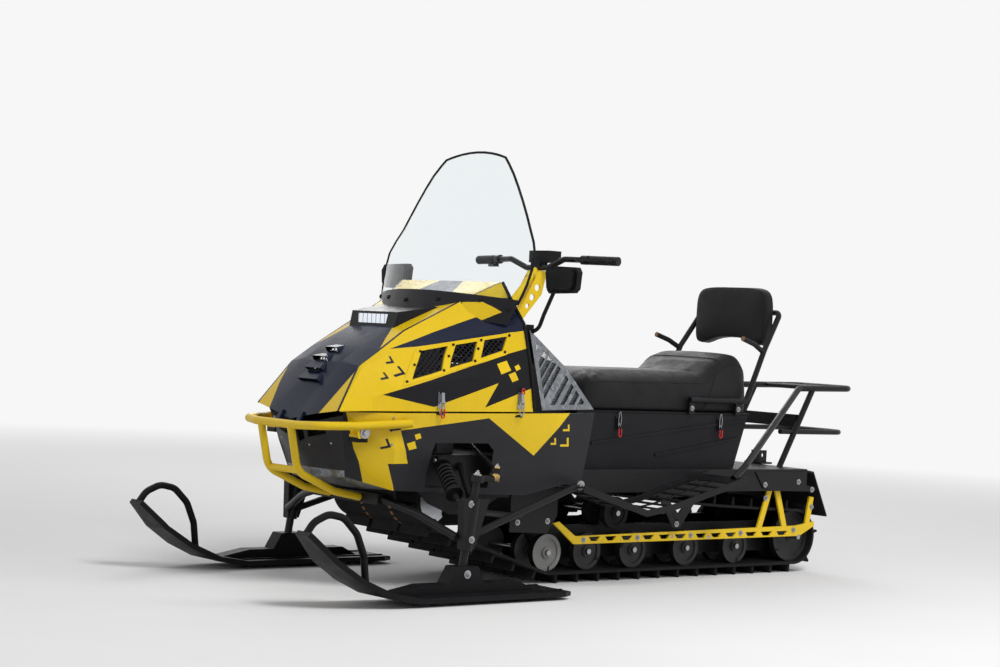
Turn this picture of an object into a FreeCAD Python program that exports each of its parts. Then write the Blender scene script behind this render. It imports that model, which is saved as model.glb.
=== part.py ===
import FreeCAD, Part
import math
import os

V = FreeCAD.Vector

# Driving dimensions, millimetres.
# Tables below are measured from the ski pivot: X forward, Y to the machine's left, Z up from the ground.
SHIFT_X = 850.0            # ski pivot to the middle of the overall length

# Track and its wheels
TRACK_HALF_W = 250.0
TRACK_SIDE_CLEAR = 32.0    # from the track's edge to the tunnel's inner face
BELT_T = 10.0
LUG_H = 32.0
LUG_T = 9.0
LUG_PITCH = 104.0
WHEEL_R = 67.5
WHEEL_Z = LUG_H + BELT_T + 0.5 + WHEEL_R
WHEEL_X = [-627.0, -823.0, -1055.0, -1334.0, -1607.0]
DRIVE_X = -115.0
DRIVE_Z = 312.0
DRIVE_R = 100.0
IDLER_X = -1925.0
IDLER_R = 100.0
CARRIER_X = -960.0
CARRIER_R = 60.0
TOP_SAG = 25.0             # of the track's upper run
WHEEL_W = 26.0
WHEEL_Y = TRACK_HALF_W - 54.0
WHEEL_INNER_Y = TRACK_HALF_W - 155.0
SEAT_CLEAR = 0.3           # between pieces that seat on each other

# Tunnel
TUNNEL_T = 3.0
TUNNEL_HALF_W = TRACK_HALF_W + TRACK_SIDE_CLEAR + TUNNEL_T
TUNNEL_TOP = 415.0
TUNNEL_BOTTOM = 330.0
TUNNEL_REAR_X = -1935.0
HUMP_TOP = 465.0
HUMP_FRONT_X = 75.0
BODY_HALF_W = TUNNEL_HALF_W + 130.0

# Running boards
BOARD_W = 207.0
BOARD_OUT_Y = TUNNEL_HALF_W + BOARD_W
BOARD_T = 4.0
BOARD_LINE = [(-548.0, 371.0), (-860.0, 281.0), (-985.0, 300.0), (-1366.0, 398.0)]
BOARD_RIM_H = 24.0

# Steering
KINGPIN_Y = 510.0
KINGPIN_RAKE = 8.0
PIVOT_Z = 100.0
ARM_LEN = 80.0             # steering arms and pitman arm, axis to ball joint
ARM_Z = 405.0
PITMAN_X = -250.0
PITMAN_Z = 560.0           # left rod's eye on the pitman's pin
EYE_STEP = 30.0            # right rod's eye above it
COLUMN_TOP = (-705.0, 1135.0)
COLUMN_LOW = (-262.0, 650.0)
COLUMN_R = 15.0
BALL_R = 10.0
ROD_R = 9.0
ROD_CLEAR = 0.3

# Skis
SKI_HALF_W = 98.0

# Seat and its box
SEAT_HALF_W = 222.0
LIP_Z = 628.0
BOX_FRONT_X = -735.0
BOX_REAR_X = -1640.0
BOX_T = 5.0
LID_T = 8.0
SEAT_REAR_X = -1652.0
SEAT_FRONT_X = -775.0

# Hood
PANEL_T = 4.0
SEAM_GAP = 6.0             # under the hood's lower edge
SHIELD_T = 3.0
HOOD_AXIS = (372.0, 551.0)

# Rack, bumper, hitch
RACK_R = 12.5
BUMPER_R = 14.0
HITCH_HOLE_R = 8.5

os.makedirs("parts", exist_ok=True)


# General helpers

def save(node, *shapes):
    solids = []
    for shape in shapes:
        solids.extend(shape.Solids)
    out = Part.makeCompound(solids) if len(solids) > 1 else solids[0]
    out = out.copy()
    out.translate(V(SHIFT_X, 0, 0))
    out.exportStep("parts/" + node + ".step")


def mirror(shape):
    return shape.mirror(V(0, 0, 0), V(0, 1, 0))


def both(shape):
    return [shape, mirror(shape)]


def fuse(shapes):
    out = shapes[0]
    if len(shapes) > 1:
        out = out.multiFuse(shapes[1:])
    return out.removeSplitter()


def box(x0, x1, y0, y1, z0, z1):
    return Part.makeBox(x1 - x0, y1 - y0, z1 - z0, V(x0, y0, z0))


def cyl(p0, p1, r):
    a = V(*p0)
    d = V(*p1) - a
    return Part.makeCylinder(r, d.Length, a, d)


def ball(p, r):
    return Part.makeSphere(r, V(*p))


def rod(points, r):
    """Round bar swept along a run of points, mitred at the corners."""
    pts = [V(*p) for p in points]
    circle = Part.Wire(Part.makeCircle(r, pts[0], pts[1] - pts[0]))
    return Part.makePolygon(pts).makePipeShell([circle], True, False, 1)


def tube(points, r, bend):
    """Bent tube: straight runs joined by tangent arcs of the bend radius, less where a run is short."""
    pts = [V(*p) for p in points]
    edges = []
    start = pts[0]
    for a, p, b in zip(pts[:-2], pts[1:-1], pts[2:]):
        u = (p - a).normalize()
        v = (b - p).normalize()
        half = math.acos(max(-1.0, min(1.0, u.dot(v)))) / 2
        reach = min(bend * math.tan(half), 0.45 * min((p - a).Length, (b - p).Length))
        radius = reach / math.tan(half)
        middle = p + (v - u).normalize() * (radius / math.cos(half) - radius)
        edges.append(Part.LineSegment(start, p - u * reach).toShape())
        edges.append(Part.Arc(p - u * reach, middle, p + v * reach).toShape())
        start = p + v * reach
    edges.append(Part.LineSegment(start, pts[-1]).toShape())
    circle = Part.Wire(Part.makeCircle(r, pts[0], pts[1] - pts[0]))
    return Part.Wire(edges).makePipeShell([circle], True, True)


def biggest(shape):
    return sorted(shape.Solids, key=lambda q: -q.Volume)[0]


def prism(points, plane, lo, hi):
    """Polygon in the plane "xz", "yz" or "xy", pushed from lo to hi along the third axis."""
    if plane == "xz":
        pts = [V(a, lo, b) for a, b in points]
        push = V(0, hi - lo, 0)
    elif plane == "yz":
        pts = [V(lo, a, b) for a, b in points]
        push = V(hi - lo, 0, 0)
    else:
        pts = [V(a, b, lo) for a, b in points]
        push = V(0, 0, hi - lo)
    face = Part.Face(Part.makePolygon(pts + [pts[0]]))
    return face.extrude(push)


def strip(points, t):
    """Outline of a band of thickness t under a run of points, square to each corner's bisector."""
    low = []
    n = len(points)
    for i, (a, b) in enumerate(points):
        p = points[max(i - 1, 0)]
        q = points[min(i + 1, n - 1)]
        dx, dz = q[0] - p[0], q[1] - p[1]
        k = math.hypot(dx, dz) * (1 if dx > 0 else -1)
        low.append((a + dz / k * t, b - dx / k * t))
    return list(points) + low[::-1]


def shell(outer, inner):
    """Closed solid between two grids of points, with flat or three-cornered facets."""
    outer = [[V(*p) for p in row] for row in outer]
    inner = [[V(*p) for p in row] for row in inner]
    m, n = len(outer), len(outer[0])
    faces = []

    def quad(a, b, c, d):
        pts = []
        for p in (a, b, c, d):
            if all((p - q).Length > 0.01 for q in pts):
                pts.append(p)
        if len(pts) < 3:
            return
        if len(pts) == 4:
            normal = (pts[1] - pts[0]).cross(pts[2] - pts[0])
            if abs(normal.normalize().dot(pts[3] - pts[0])) < 1e-4:
                faces.append(Part.Face(Part.makePolygon(pts + [pts[0]])))
                return
            faces.append(Part.Face(Part.makePolygon([pts[0], pts[1], pts[2], pts[0]])))
            faces.append(Part.Face(Part.makePolygon([pts[0], pts[2], pts[3], pts[0]])))
            return
        faces.append(Part.Face(Part.makePolygon(pts + [pts[0]])))

    for i in range(m - 1):
        for j in range(n - 1):
            quad(outer[i][j], outer[i + 1][j], outer[i + 1][j + 1], outer[i][j + 1])
            quad(inner[i][j], inner[i + 1][j], inner[i + 1][j + 1], inner[i][j + 1])
    for i in range(m - 1):
        for j in (0, n - 1):
            quad(outer[i][j], outer[i + 1][j], inner[i + 1][j], inner[i][j])
    for j in range(n - 1):
        for i in (0, m - 1):
            quad(outer[i][j], outer[i][j + 1], inner[i][j + 1], inner[i][j])
    solid = Part.Solid(Part.makeShell(faces))
    if solid.Volume < 0:
        solid.reverse()
    return solid


def moved(row, step):
    return [tuple(p + q for p, q in zip(point, step)) for point in row]


def skin(rows, offsets):
    """Panel between rows of points and the same rows, each moved by its offset."""
    return shell(rows, [moved(row, step) for row, step in zip(rows, offsets)])


def lerp(a, b, t):
    return tuple(p + (q - p) * t for p, q in zip(a, b))


def at_x(row, x):
    """Point of a run from front to rear at a place along x."""
    for a, b in zip(row[:-1], row[1:]):
        if b[0] <= x <= a[0]:
            return lerp(a, b, (x - a[0]) / (b[0] - a[0]))
    return row[-1]


TABLE_HALF_W = 415.0       # the body's widest place in the tables below


def wide(row):
    """Run of a body table with its half widths taken to the body's own."""
    return [(x, y * BODY_HALF_W / TABLE_HALF_W, z) for x, y, z in row]


# Track: one loop around the drive, the wheels, the rear idler and the carrier

def tangent(c0, r0, c1, r1):
    """Outer tangent points of two circles passed clockwise, seen with X right and Z up."""
    dx, dz = c1[0] - c0[0], c1[1] - c0[1]
    d = math.hypot(dx, dz)
    base = math.atan2(dz, dx)
    a = base + math.acos((r0 - r1) / d)
    return ((c0[0] + r0 * math.cos(a), c0[1] + r0 * math.sin(a)),
            (c1[0] + r1 * math.cos(a), c1[1] + r1 * math.sin(a)))


LUG_IN_Y = 92.0
LUG_OUT_Y = TRACK_HALF_W - 12.0
LOOP = [
    ((DRIVE_X, DRIVE_Z), DRIVE_R),
    ((WHEEL_X[0], WHEEL_Z), WHEEL_R),
    ((IDLER_X, IDLER_R + LUG_H + BELT_T + 0.5), IDLER_R),
]


def loop_points(offset, step_deg):
    """Points of the belt's path, offset from the wheels' rims, clockwise from the drive."""
    spans = []
    n = len(LOOP)
    for i in range(n):
        (c0, r0), (c1, r1) = LOOP[i], LOOP[(i + 1) % n]
        spans.append(tangent(c0, r0 + offset, c1, r1 + offset))
    points = []
    for i in range(n):
        c, r = LOOP[i]
        r = r + offset
        start = spans[i - 1][1]
        end = spans[i][0]
        a0 = math.atan2(start[1] - c[1], start[0] - c[0])
        a1 = math.atan2(end[1] - c[1], end[0] - c[0])
        while a1 > a0:
            a1 -= 2 * math.pi
        while a0 - a1 > 2 * math.pi:
            a1 += 2 * math.pi
        k = max(2, int(math.ceil(math.degrees(a0 - a1) / step_deg)) + 1)
        for j in range(k):
            a = a0 + (a1 - a0) * j / (k - 1)
            points.append((c[0] + r * math.cos(a), c[1] + r * math.sin(a)))
    (x0, z0), (x1, z1) = spans[-1]
    for j in range(1, 8):
        t = j / 8.0
        points.append((x0 + (x1 - x0) * t, z0 + (z1 - z0) * t - TOP_SAG * 4 * t * (1 - t)))
    return points


def top_run_z(x):
    """Height of the belt's inner face over x, on the upper run."""
    pts = loop_points(SEAT_CLEAR, 8.0)[-8:]
    for a, b in zip(pts[:-1], pts[1:]):
        if a[0] <= x <= b[0]:
            return a[1] + (b[1] - a[1]) * (x - a[0]) / (b[0] - a[0])
    return pts[-1][1]


def along(points, pitch):
    """Even stations on a closed run of points: place and outward normal."""
    closed = points + [points[0]]
    lengths = [math.dist(a, b) for a, b in zip(closed[:-1], closed[1:])]
    total = sum(lengths)
    count = int(round(total / pitch))
    out = []
    for k in range(count):
        s = total * k / count
        for a, b, d in zip(closed[:-1], closed[1:], lengths):
            if s <= d:
                tx, tz = (b[0] - a[0]) / d, (b[1] - a[1]) / d
                out.append((a[0] + tx * s, a[1] + tz * s, -tz, tx))
                break
            s -= d
    return out


def make_track():
    outer = loop_points(SEAT_CLEAR + BELT_T, 8.0)
    inner = loop_points(SEAT_CLEAR, 8.0)
    band = prism(outer, "xz", -TRACK_HALF_W, TRACK_HALF_W)
    band = band.cut(prism(inner, "xz", -TRACK_HALF_W - 5, TRACK_HALF_W + 5))
    lugs = []
    sink = 1.0
    for x, z, nx, nz in along(outer, LUG_PITCH):
        tx, tz = nz, -nx
        h = LUG_H - SEAT_CLEAR + 0.5
        foot, tip = LUG_T * 0.9, LUG_T * 0.45
        pts = []
        for u, w in ((-foot, -sink), (foot, -sink), (tip, h), (-tip, h)):
            pts.append((x + tx * u + nx * w, z + tz * u + nz * w))
        for y0, y1 in ((-LUG_OUT_Y, -LUG_IN_Y), (-72.0, 72.0), (LUG_IN_Y, LUG_OUT_Y)):
            lugs.append(prism(pts, "xz", y0, y1))
    return band.multiFuse(lugs)


save("track", make_track())


# Wheels, axles and rails inside the track

def wheel(x, z, r, y, w):
    hub = cyl((x, y, z), (x, y + w, z), r)
    hub = hub.cut(cyl((x, y + w - 6, z), (x, y + w + 1, z), r - 16))
    hub = hub.fuse(cyl((x, y + w - 8, z), (x, y + w + 2, z), 20.0))
    return hub.cut(cyl((x, y - 5, z), (x, y + w + 5, z), AXLE_R + SEAT_CLEAR))


AXLE_R = 10.0
IDLER_Z = IDLER_R + LUG_H + BELT_T + 0.5
CARRIER_Z = top_run_z(CARRIER_X) - SEAT_CLEAR - CARRIER_R - 1.0

wheels = []
for x in WHEEL_X:
    for s in both(wheel(x, WHEEL_Z, WHEEL_R, WHEEL_Y, WHEEL_W)):
        wheels.append(s)
    for s in both(wheel(x, WHEEL_Z, WHEEL_R, WHEEL_INNER_Y, WHEEL_W)):
        wheels.append(s)

idlers = []
for y in (WHEEL_Y, WHEEL_INNER_Y):
    idlers += both(wheel(IDLER_X, IDLER_Z, IDLER_R, y, WHEEL_W))
    idlers += both(wheel(CARRIER_X, CARRIER_Z, CARRIER_R, y, WHEEL_W))
save("wheels", *wheels, *idlers)

RAIL_Y = TRACK_HALF_W + 8.0
RAIL_T = 8.0
RAIL_BARS = [(-1214.0, 160.0), (-1412.0, 154.0)]
BAR_R = 7.0
INSIDE = TUNNEL_HALF_W - TUNNEL_T - SEAT_CLEAR


def across(x, z, half, r):
    """Round bar across the machine."""
    return cyl((x, -half, z), (x, half, z), r)


def make_rail():
    side = [(-612.0, 221.0), (-640.0, 226.0), (-722.0, 172.0), (-1905.0, 188.0), (-2012.0, 203.0),
            (-2016.0, 186.0), (-1930.0, 147.0), (-716.0, 143.0)]
    plate = prism(side, "xz", RAIL_Y, RAIL_Y + RAIL_T)
    holes = []
    spans = [(-775.0, -1020.0), (-1048.0, -1300.0), (-1328.0, -1575.0), (-1603.0, -1870.0)]
    for x0, x1 in spans:
        step = (x1 - x0) / 3.0
        for k in range(3):
            a = x0 + step * k - 12
            b = x0 + step * (k + 1) + 12
            holes.append(prism([(a, 168.0), (b, 169.0), (b + 14, 152.0), (a - 14, 152.0)], "xz",
                               RAIL_Y - 5, RAIL_Y + RAIL_T + 5))
    return plate.cut(Part.makeCompound(holes))


rail = make_rail()
frame_posts = []
for a, b in (((-1690.0, 175.0), (-1752.0, 355.0)), ((-1840.0, 180.0), (-1778.0, 355.0))):
    dx, dz = b[0] - a[0], b[1] - a[1]
    k = math.hypot(dx, dz)
    nx, nz = -dz / k * 13, dx / k * 13
    pts = [(a[0] + nx, a[1] + nz), (b[0] + nx, b[1] + nz), (b[0] - nx, b[1] - nz), (a[0] - nx, a[1] - nz)]
    frame_posts.append(prism(pts, "xz", RAIL_Y, RAIL_Y + RAIL_T))
post_rear = prism([(-1958.0, 185.0), (-1984.0, 185.0), (-2004.0, 300.0), (-1978.0, 304.0)], "xz",
                  RAIL_Y, RAIL_Y + RAIL_T)
post_boss = cyl((-1765, RAIL_Y + RAIL_T - 1, 345), (-1765, INSIDE, 345), 14)
rail = fuse([rail, post_rear, post_boss] + frame_posts)
rail = rail.cut(across(IDLER_X, IDLER_Z, TUNNEL_HALF_W, AXLE_R + SEAT_CLEAR))
for x, z in RAIL_BARS:
    rail = rail.cut(across(x, z, TUNNEL_HALF_W, BAR_R + SEAT_CLEAR))
save("side_rails", *both(rail))

# The slide beams carry the wheels' axles between the outer rails.
BEAM_Y = (WHEEL_INNER_Y + WHEEL_W + WHEEL_Y) / 2 - 18.5
beam_side = [(-600.0, 150.0), (-575.0, 190.0), (-640.0, 222.0), (-760.0, 200.0), (-1960.0, 200.0),
             (-1960.0, 118.0), (-1880.0, 80.0), (-640.0, 80.0)]
beam = prism(beam_side, "xz", BEAM_Y, BEAM_Y + 12)
for x in WHEEL_X + [IDLER_X]:
    z = IDLER_Z if x == IDLER_X else WHEEL_Z
    beam = beam.cut(across(x, z, WHEEL_Y, AXLE_R + SEAT_CLEAR))
for x, z in RAIL_BARS:
    beam = beam.cut(across(x, z, WHEEL_Y, BAR_R + SEAT_CLEAR))

AXLE_HALF = WHEEL_Y + WHEEL_W + 12.0
axles = [across(x, WHEEL_Z, AXLE_HALF, AXLE_R) for x in WHEEL_X]
axles.append(across(IDLER_X, IDLER_Z, RAIL_Y + RAIL_T, AXLE_R))
for x, z in RAIL_BARS:
    axles.append(across(x, z, RAIL_Y + RAIL_T, BAR_R))
axles.append(across(CARRIER_X, CARRIER_Z, AXLE_HALF, AXLE_R))

# Drive axle with toothed sprockets, in the tunnel's bearings
SPROCKET_W = 28.0
SPROCKET_TEETH = 10
DRIVE_AXLE_R = 16.0
drive = [across(DRIVE_X, DRIVE_Z, INSIDE, DRIVE_AXLE_R)]
for y in (-150.0, -50.0, 50.0, 150.0):
    disc = cyl((DRIVE_X, y - SPROCKET_W / 2, DRIVE_Z), (DRIVE_X, y + SPROCKET_W / 2, DRIVE_Z),
               DRIVE_R - SEAT_CLEAR)
    for k in range(SPROCKET_TEETH):
        a = 2 * math.pi * k / SPROCKET_TEETH
        x, z = DRIVE_X + DRIVE_R * math.cos(a), DRIVE_Z + DRIVE_R * math.sin(a)
        disc = disc.cut(cyl((x, y - SPROCKET_W, z), (x, y + SPROCKET_W, z), 17.0))
    drive.append(disc)
save("axles", fuse(drive), *axles)

# Swing arms from the tunnel to the beams, with the shock between them
ARM_TUBE = 13.0
FRONT_PIVOT = (-540.0, 338.0)
FRONT_FOOT = (-725.0, 150.0)
REAR_PIVOT = (-1209.0, 222.0)
REAR_FOOT = (-1480.0, 165.0)


def swing_arm(top, low, reach):
    legs = [cyl((top[0], y, top[1]), (low[0], y, low[1]), ARM_TUBE) for y in (-BEAM_Y + 30, BEAM_Y - 30)]
    legs.append(across(top[0], top[1], reach, ARM_TUBE + 2))
    legs.append(across(low[0], low[1], BEAM_Y - SEAT_CLEAR, ARM_TUBE + 2))
    return fuse(legs)


swing_arms = [swing_arm(FRONT_PIVOT, FRONT_FOOT, INSIDE), swing_arm(REAR_PIVOT, REAR_FOOT, TUNNEL_HALF_W)]

carrier = []
for y in (-BEAM_Y - 6, BEAM_Y + 6):
    arm = prism([(CARRIER_X - 22, 190), (CARRIER_X + 22, 190), (CARRIER_X + 14, CARRIER_Z + 14),
                 (CARRIER_X - 14, CARRIER_Z + 14)], "xz", y - 4, y + 4)
    carrier.append(arm.cut(across(CARRIER_X, CARRIER_Z, WHEEL_Y, AXLE_R + SEAT_CLEAR)))
carrier = [biggest(c.cut(beam).cut(mirror(beam))) for c in carrier]
save("slide_frame", *both(beam), *swing_arms, *carrier)

foot, pivot = FRONT_FOOT, REAR_PIVOT


def on_shock(t):
    return (foot[0] + (pivot[0] - foot[0]) * t, 0, foot[1] + (pivot[1] - foot[1]) * t)


spring = fuse([cyl(on_shock(0), on_shock(1), 12.0), cyl(on_shock(0.22), on_shock(0.75), 30.0)])
for x, z in (foot, pivot):
    spring = spring.cut(across(x, z, 60, ARM_TUBE + 2 + SEAT_CLEAR))
track_shock = biggest(spring)


# Tunnel: folded plate with a raised front over the drive

def make_tunnel():
    top = [(TUNNEL_REAR_X, TUNNEL_TOP), (-640.0, TUNNEL_TOP), (-420.0, HUMP_TOP), (HUMP_FRONT_X, HUMP_TOP)]
    side = top + [(HUMP_FRONT_X, 380.0), (-20.0, 300.0), (-120.0, 262.0), (-230.0, 262.0), (-330.0, 318.0),
                  (-600.0, 318.0), (-640.0, TUNNEL_BOTTOM), (-1830.0, TUNNEL_BOTTOM), (TUNNEL_REAR_X, 345.0)]
    body = prism(side, "xz", -TUNNEL_HALF_W, TUNNEL_HALF_W)
    t = TUNNEL_T
    hollow = [(TUNNEL_REAR_X - 10, TUNNEL_TOP - t), (-640.0, TUNNEL_TOP - t), (-420.0, HUMP_TOP - t),
              (HUMP_FRONT_X - t, HUMP_TOP - t), (HUMP_FRONT_X - t, 200.0), (TUNNEL_REAR_X - 10, 200.0)]
    body = body.cut(prism(hollow, "xz", -TUNNEL_HALF_W + t, TUNNEL_HALF_W - t))
    return body


tunnel = make_tunnel()
save("tunnel", tunnel)
BESIDE = TUNNEL_HALF_W + SEAT_CLEAR

# Rear side plates bolted to the tunnel, and the reinforcing rail under it
plate = prism([(-1630.0, 405.0), (-1925.0, 405.0), (-1925.0, 352.0), (-1985.0, 340.0), (-1975.0, 326.0),
               (-1740.0, 330.0), (-1680.0, 340.0)], "xz", BESIDE, BESIDE + 5)


# Running boards with a ladder grating and a rim
def make_board():
    line = BOARD_LINE
    sheet = prism(strip(line, BOARD_T), "xz", BESIDE, BOARD_OUT_Y - 2)
    rim = prism(strip([(x, z + 6) for x, z in line], BOARD_RIM_H), "xz", BOARD_OUT_Y - 5, BOARD_OUT_Y)
    middle = (BESIDE + BOARD_OUT_Y) / 2 - 3
    holes = []
    for (x0, z0), (x1, z1) in zip(line[:-1], line[1:]):
        length = math.hypot(x1 - x0, z1 - z0)
        count = int(length // 58)
        for k in range(count - 1 if x1 == line[-1][0] else count):
            t = (k + 0.5) / count
            x, z = x0 + (x1 - x0) * t, z0 + (z1 - z0) * t
            half = length / count * 0.5 - 9
            for y0, y1 in ((BESIDE + 24, middle - 7), (middle + 7, BOARD_OUT_Y - 18)):
                holes.append(box(x - half, x + half, y0, y1, z - 40, z + 40))
    sheet = sheet.cut(Part.makeCompound(holes))
    inner = prism(strip([(x, z + 14) for x, z in line], 20), "xz", BESIDE, BESIDE + 4)
    return fuse([sheet, rim, inner])


board = make_board()
save("running_boards", *both(board))

# Hangers bolted outside the tunnel carry the rear arm's cross tube.
hanger = prism([(-1100.0, 326.0), (-1330.0, 326.0), (-1228.0, 196.0), (-1190.0, 196.0)], "xz",
               BESIDE, BESIDE + 6)
hanger = hanger.cut(prism([(-1150.0, 312.0), (-1275.0, 312.0), (-1215.0, 250.0)], "xz", 0, BESIDE + 10))
hanger = hanger.cut(across(REAR_PIVOT[0], REAR_PIVOT[1], BESIDE + 10, 6.0))
hanger = fuse([hanger, box(-1330, -1100, BESIDE, BESIDE + 6, 326, 372)])
hanger = biggest(hanger.cut(board))

# Rubber snow flap behind the tunnel
flap = prism([(-1935.3, 412.0), (-1990.0, 404.0), (-2084.0, 225.0), (-2078.0, 222.0), (-1988.0, 396.0),
              (-1935.3, 406.0)], "xz", -TUNNEL_HALF_W + 13, TUNNEL_HALF_W - 13)
save("snow_flap", flap)


# Front frame, engine and drive housings
FRAME_X = HUMP_FRONT_X + SEAT_CLEAR
FRAME_Y = 150.0
CROSS_Y = TUNNEL_HALF_W + 45.0
front_frame = fuse([
    box(FRAME_X, FRAME_X + 6, -230, 230, 288, 560),
    box(FRAME_X, FRAME_X + 6, -CROSS_Y, CROSS_Y, 400, 440),
    box(FRAME_X, 122, -190, 190, 288, 326),
    prism([(80, 376), (226, 398), (290, 545), (80, 560)], "xz", -FRAME_Y, -FRAME_Y + 6),
    prism([(80, 376), (226, 398), (290, 545), (80, 560)], "xz", FRAME_Y - 6, FRAME_Y),
    cyl((240, -FRAME_Y + 1, 470), (240, FRAME_Y - 1, 470), 12),
])

engine = fuse([box(-185, 60, -200, 200, HUMP_TOP + SEAT_CLEAR, 700), box(-150, 40, -140, 140, 700, 830),
               cyl((-50, 200, 590), (-50, 290, 590), 80)])
save("engine_block", engine)

# Side plates at the track's front, outside the tunnel
drive_box = prism([(-605, 372), (-420, 352), (-385, 322), (-385, 196), (-560, 188), (-605, 250)], "xz",
                  BESIDE, BESIDE + 5.7)
drive_box = biggest(drive_box.cut(board))
save("tunnel_plates", *both(plate), *both(hanger), *both(drive_box))


# Lower body: dark panels under the hood seam
def seam_z(x):
    return 606.0 + (339.0 - x) / 984.0 * 26.0


LOWER = [
    # front to rear: top, middle, bottom
    [(303.0, 222.0, None), (276.0, 192.0, 480.0), (245.0, 168.0, 381.0)],
    [(140.0, 298.0, None), (140.0, 296.0, 480.0), (138.0, 292.0, 346.0)],
    [(-120.0, 356.0, None), (-120.0, 338.0, 478.0), (-120.0, 304.0, 335.0)],
    [(-386.0, 403.0, None), (-399.0, 382.0, 472.0), (-388.0, 360.0, 332.0)],
    [(-645.0, 415.0, None), (-628.0, 412.0, 510.0), (-606.0, 409.0, 391.0)],
]


def make_lower():
    cols = []
    for col in LOWER:
        fixed = []
        for x, y, z in col:
            fixed.append((x, y, seam_z(x) - SEAM_GAP if z is None else z))
        cols.append(fixed)
    rows = [wide([col[k] for col in cols]) for k in range(3)]
    panel = skin(rows, [(0, -PANEL_T, 0), (0, -PANEL_T, 0), (0, -PANEL_T, 0)])
    window = prism([(-12, 509), (-213, 511), (-237, 488), (-237, 356), (9, 356), (-1, 481)], "xz", 200, 450)
    return panel.cut(window)


lower = make_lower()
save("lower_body", *both(lower))

NOSE = [
    # lower lip of the hood's nose, chin and belly, from the middle outwards
    [(362.0, 0.0, 556.0), (340.0, 133.0, 568.0), (304.5, 219.0, 590.0)],
    [(322.0, 0.0, 470.0), (302.0, 105.0, 472.0), (275.0, 190.0, 480.0)],
    [(262.0, 0.0, 372.0), (256.0, 85.0, 374.0), (244.0, 166.0, 381.0)],
    [(128.0, 0.0, 334.0), (128.0, 100.0, 336.0), (134.0, 285.0, 346.0)],
]


def full(row):
    row = wide(row)
    left = [(x, -y, z) for x, y, z in row[::-1] if y > 0]
    return left + row


NOSE_WINDOWS = [
    # inner and outer opening of one side, in y and z
    [(10, 541), (48, 543), (40, 500), (10, 489)],
    [(64, 544), (150, 551), (141, 523), (56, 506)],
]
nose = skin([full(r) for r in NOSE[:3]], [(-PANEL_T, 0, 0), (-PANEL_T, 0, 0), (-PANEL_T, 0, 1)])
nose = biggest(nose.cut(lower).cut(mirror(lower)))
for outline in NOSE_WINDOWS:
    for hole in both(prism(outline, "yz", 250, 400)):
        nose = nose.cut(hole)
belly = skin([full([(x - 1, y, z + 0.5) for x, y, z in NOSE[2]]), full(NOSE[3])],
             [(-5, 0, 3), (0, 0, 4)])
belly = belly.cut(nose).cut(lower).cut(mirror(lower)).cut(front_frame)
save("belly_plate", biggest(belly))
front_frame = biggest(front_frame.cut(lower).cut(mirror(lower)))


# Front bumper: an upper hoop, two uprights run back under the nose, and a cross tube
UPRIGHT_Y = 88.0
BOLT_R = 9.0
hoop_side = wide([(420, 120, 550), (396, 214, 554), (283, 268, 558), (98, 326, 573)])
hoop = [(x, -y, z) for x, y, z in hoop_side[::-1]] + hoop_side
parts = [tube(hoop, BUMPER_R, 60.0)]
for y in (-UPRIGHT_Y, UPRIGHT_Y):
    parts.append(tube([(422, y, 549), (384, y, 392), (230, y, 326), (122.3, y, 306)], BUMPER_R - 1, 70.0))
parts.append(across(376, 396, UPRIGHT_Y, BUMPER_R - 2))

# Each end hangs in a plate that a bolt, its washer and a rubber block hold to the lower body.
BRACKET = wide([(256, 270, 534)])[0]
bx, by, bz = BRACKET
mounts = [
    prism([(bx + 30, bz + 30), (bx - 34, bz + 34), (bx - 20, bz - 15), (bx + 18, bz - 17)], "xz",
          by - 3, by + 3),
    cyl((bx - 4, by + 2, bz + 2), (bx - 4, by + 7, bz + 2), 19.0),
    cyl((bx - 4, by + 2, bz + 2), (bx - 4, by + 13, bz + 2), BOLT_R),
    box(bx - 22, bx + 20, by - 50, by - 2, bz - 30, bz - 4),
]
block = mounts.pop().cut(lower)
mounts.append(sorted(block.Solids, key=lambda q: -q.CenterOfMass.y)[0])
for mount in mounts:
    parts += both(mount)
bumper = biggest(parts[0].multiFuse(parts[1:]).cut(front_frame).cut(nose).cut(lower).cut(mirror(lower)))
save("front_bumper", bumper)

# Hood side, from the centre section's ridge down to the seam
RIDGE = wide([(339.0, 243.0, 606.0), (235.0, 200.0, 755.0), (150.0, 200.0, 812.0), (45.0, 190.0, 880.0),
              (-165.0, 225.0, 992.0), (-292.0, 286.0, 1066.0)])
SHOULDER = wide([(338.0, 244.0, 605.5), (232.0, 212.0, 750.0), (147.0, 226.0, 795.0), (30.0, 268.0, 829.0),
                 (-175.0, 330.0, 885.0), (-318.0, 381.0, 928.0)])
BELT = wide([(337.0, 245.0, 605.0), (225.0, 262.0, 655.0), (140.0, 292.0, 684.0), (20.0, 330.0, 712.0),
             (-180.0, 374.0, 745.0), (-345.0, 398.0, 775.0)])
SEAM = wide([(x, y, seam_z(x)) for x, y in ((336.0, 246.0), (222.0, 270.0), (135.0, 295.0), (10.0, 325.0),
                                            (-182.0, 368.0), (-368.0, 402.0))])
SIDE_DROP = [(0, 0, -PANEL_T - 1), (0, -PANEL_T, -2), (0, -PANEL_T, 0), (0, -PANEL_T, 0)]


def make_hood_side():
    return skin([row[1:] for row in (RIDGE, SHOULDER, BELT, SEAM)], SIDE_DROP)


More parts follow.
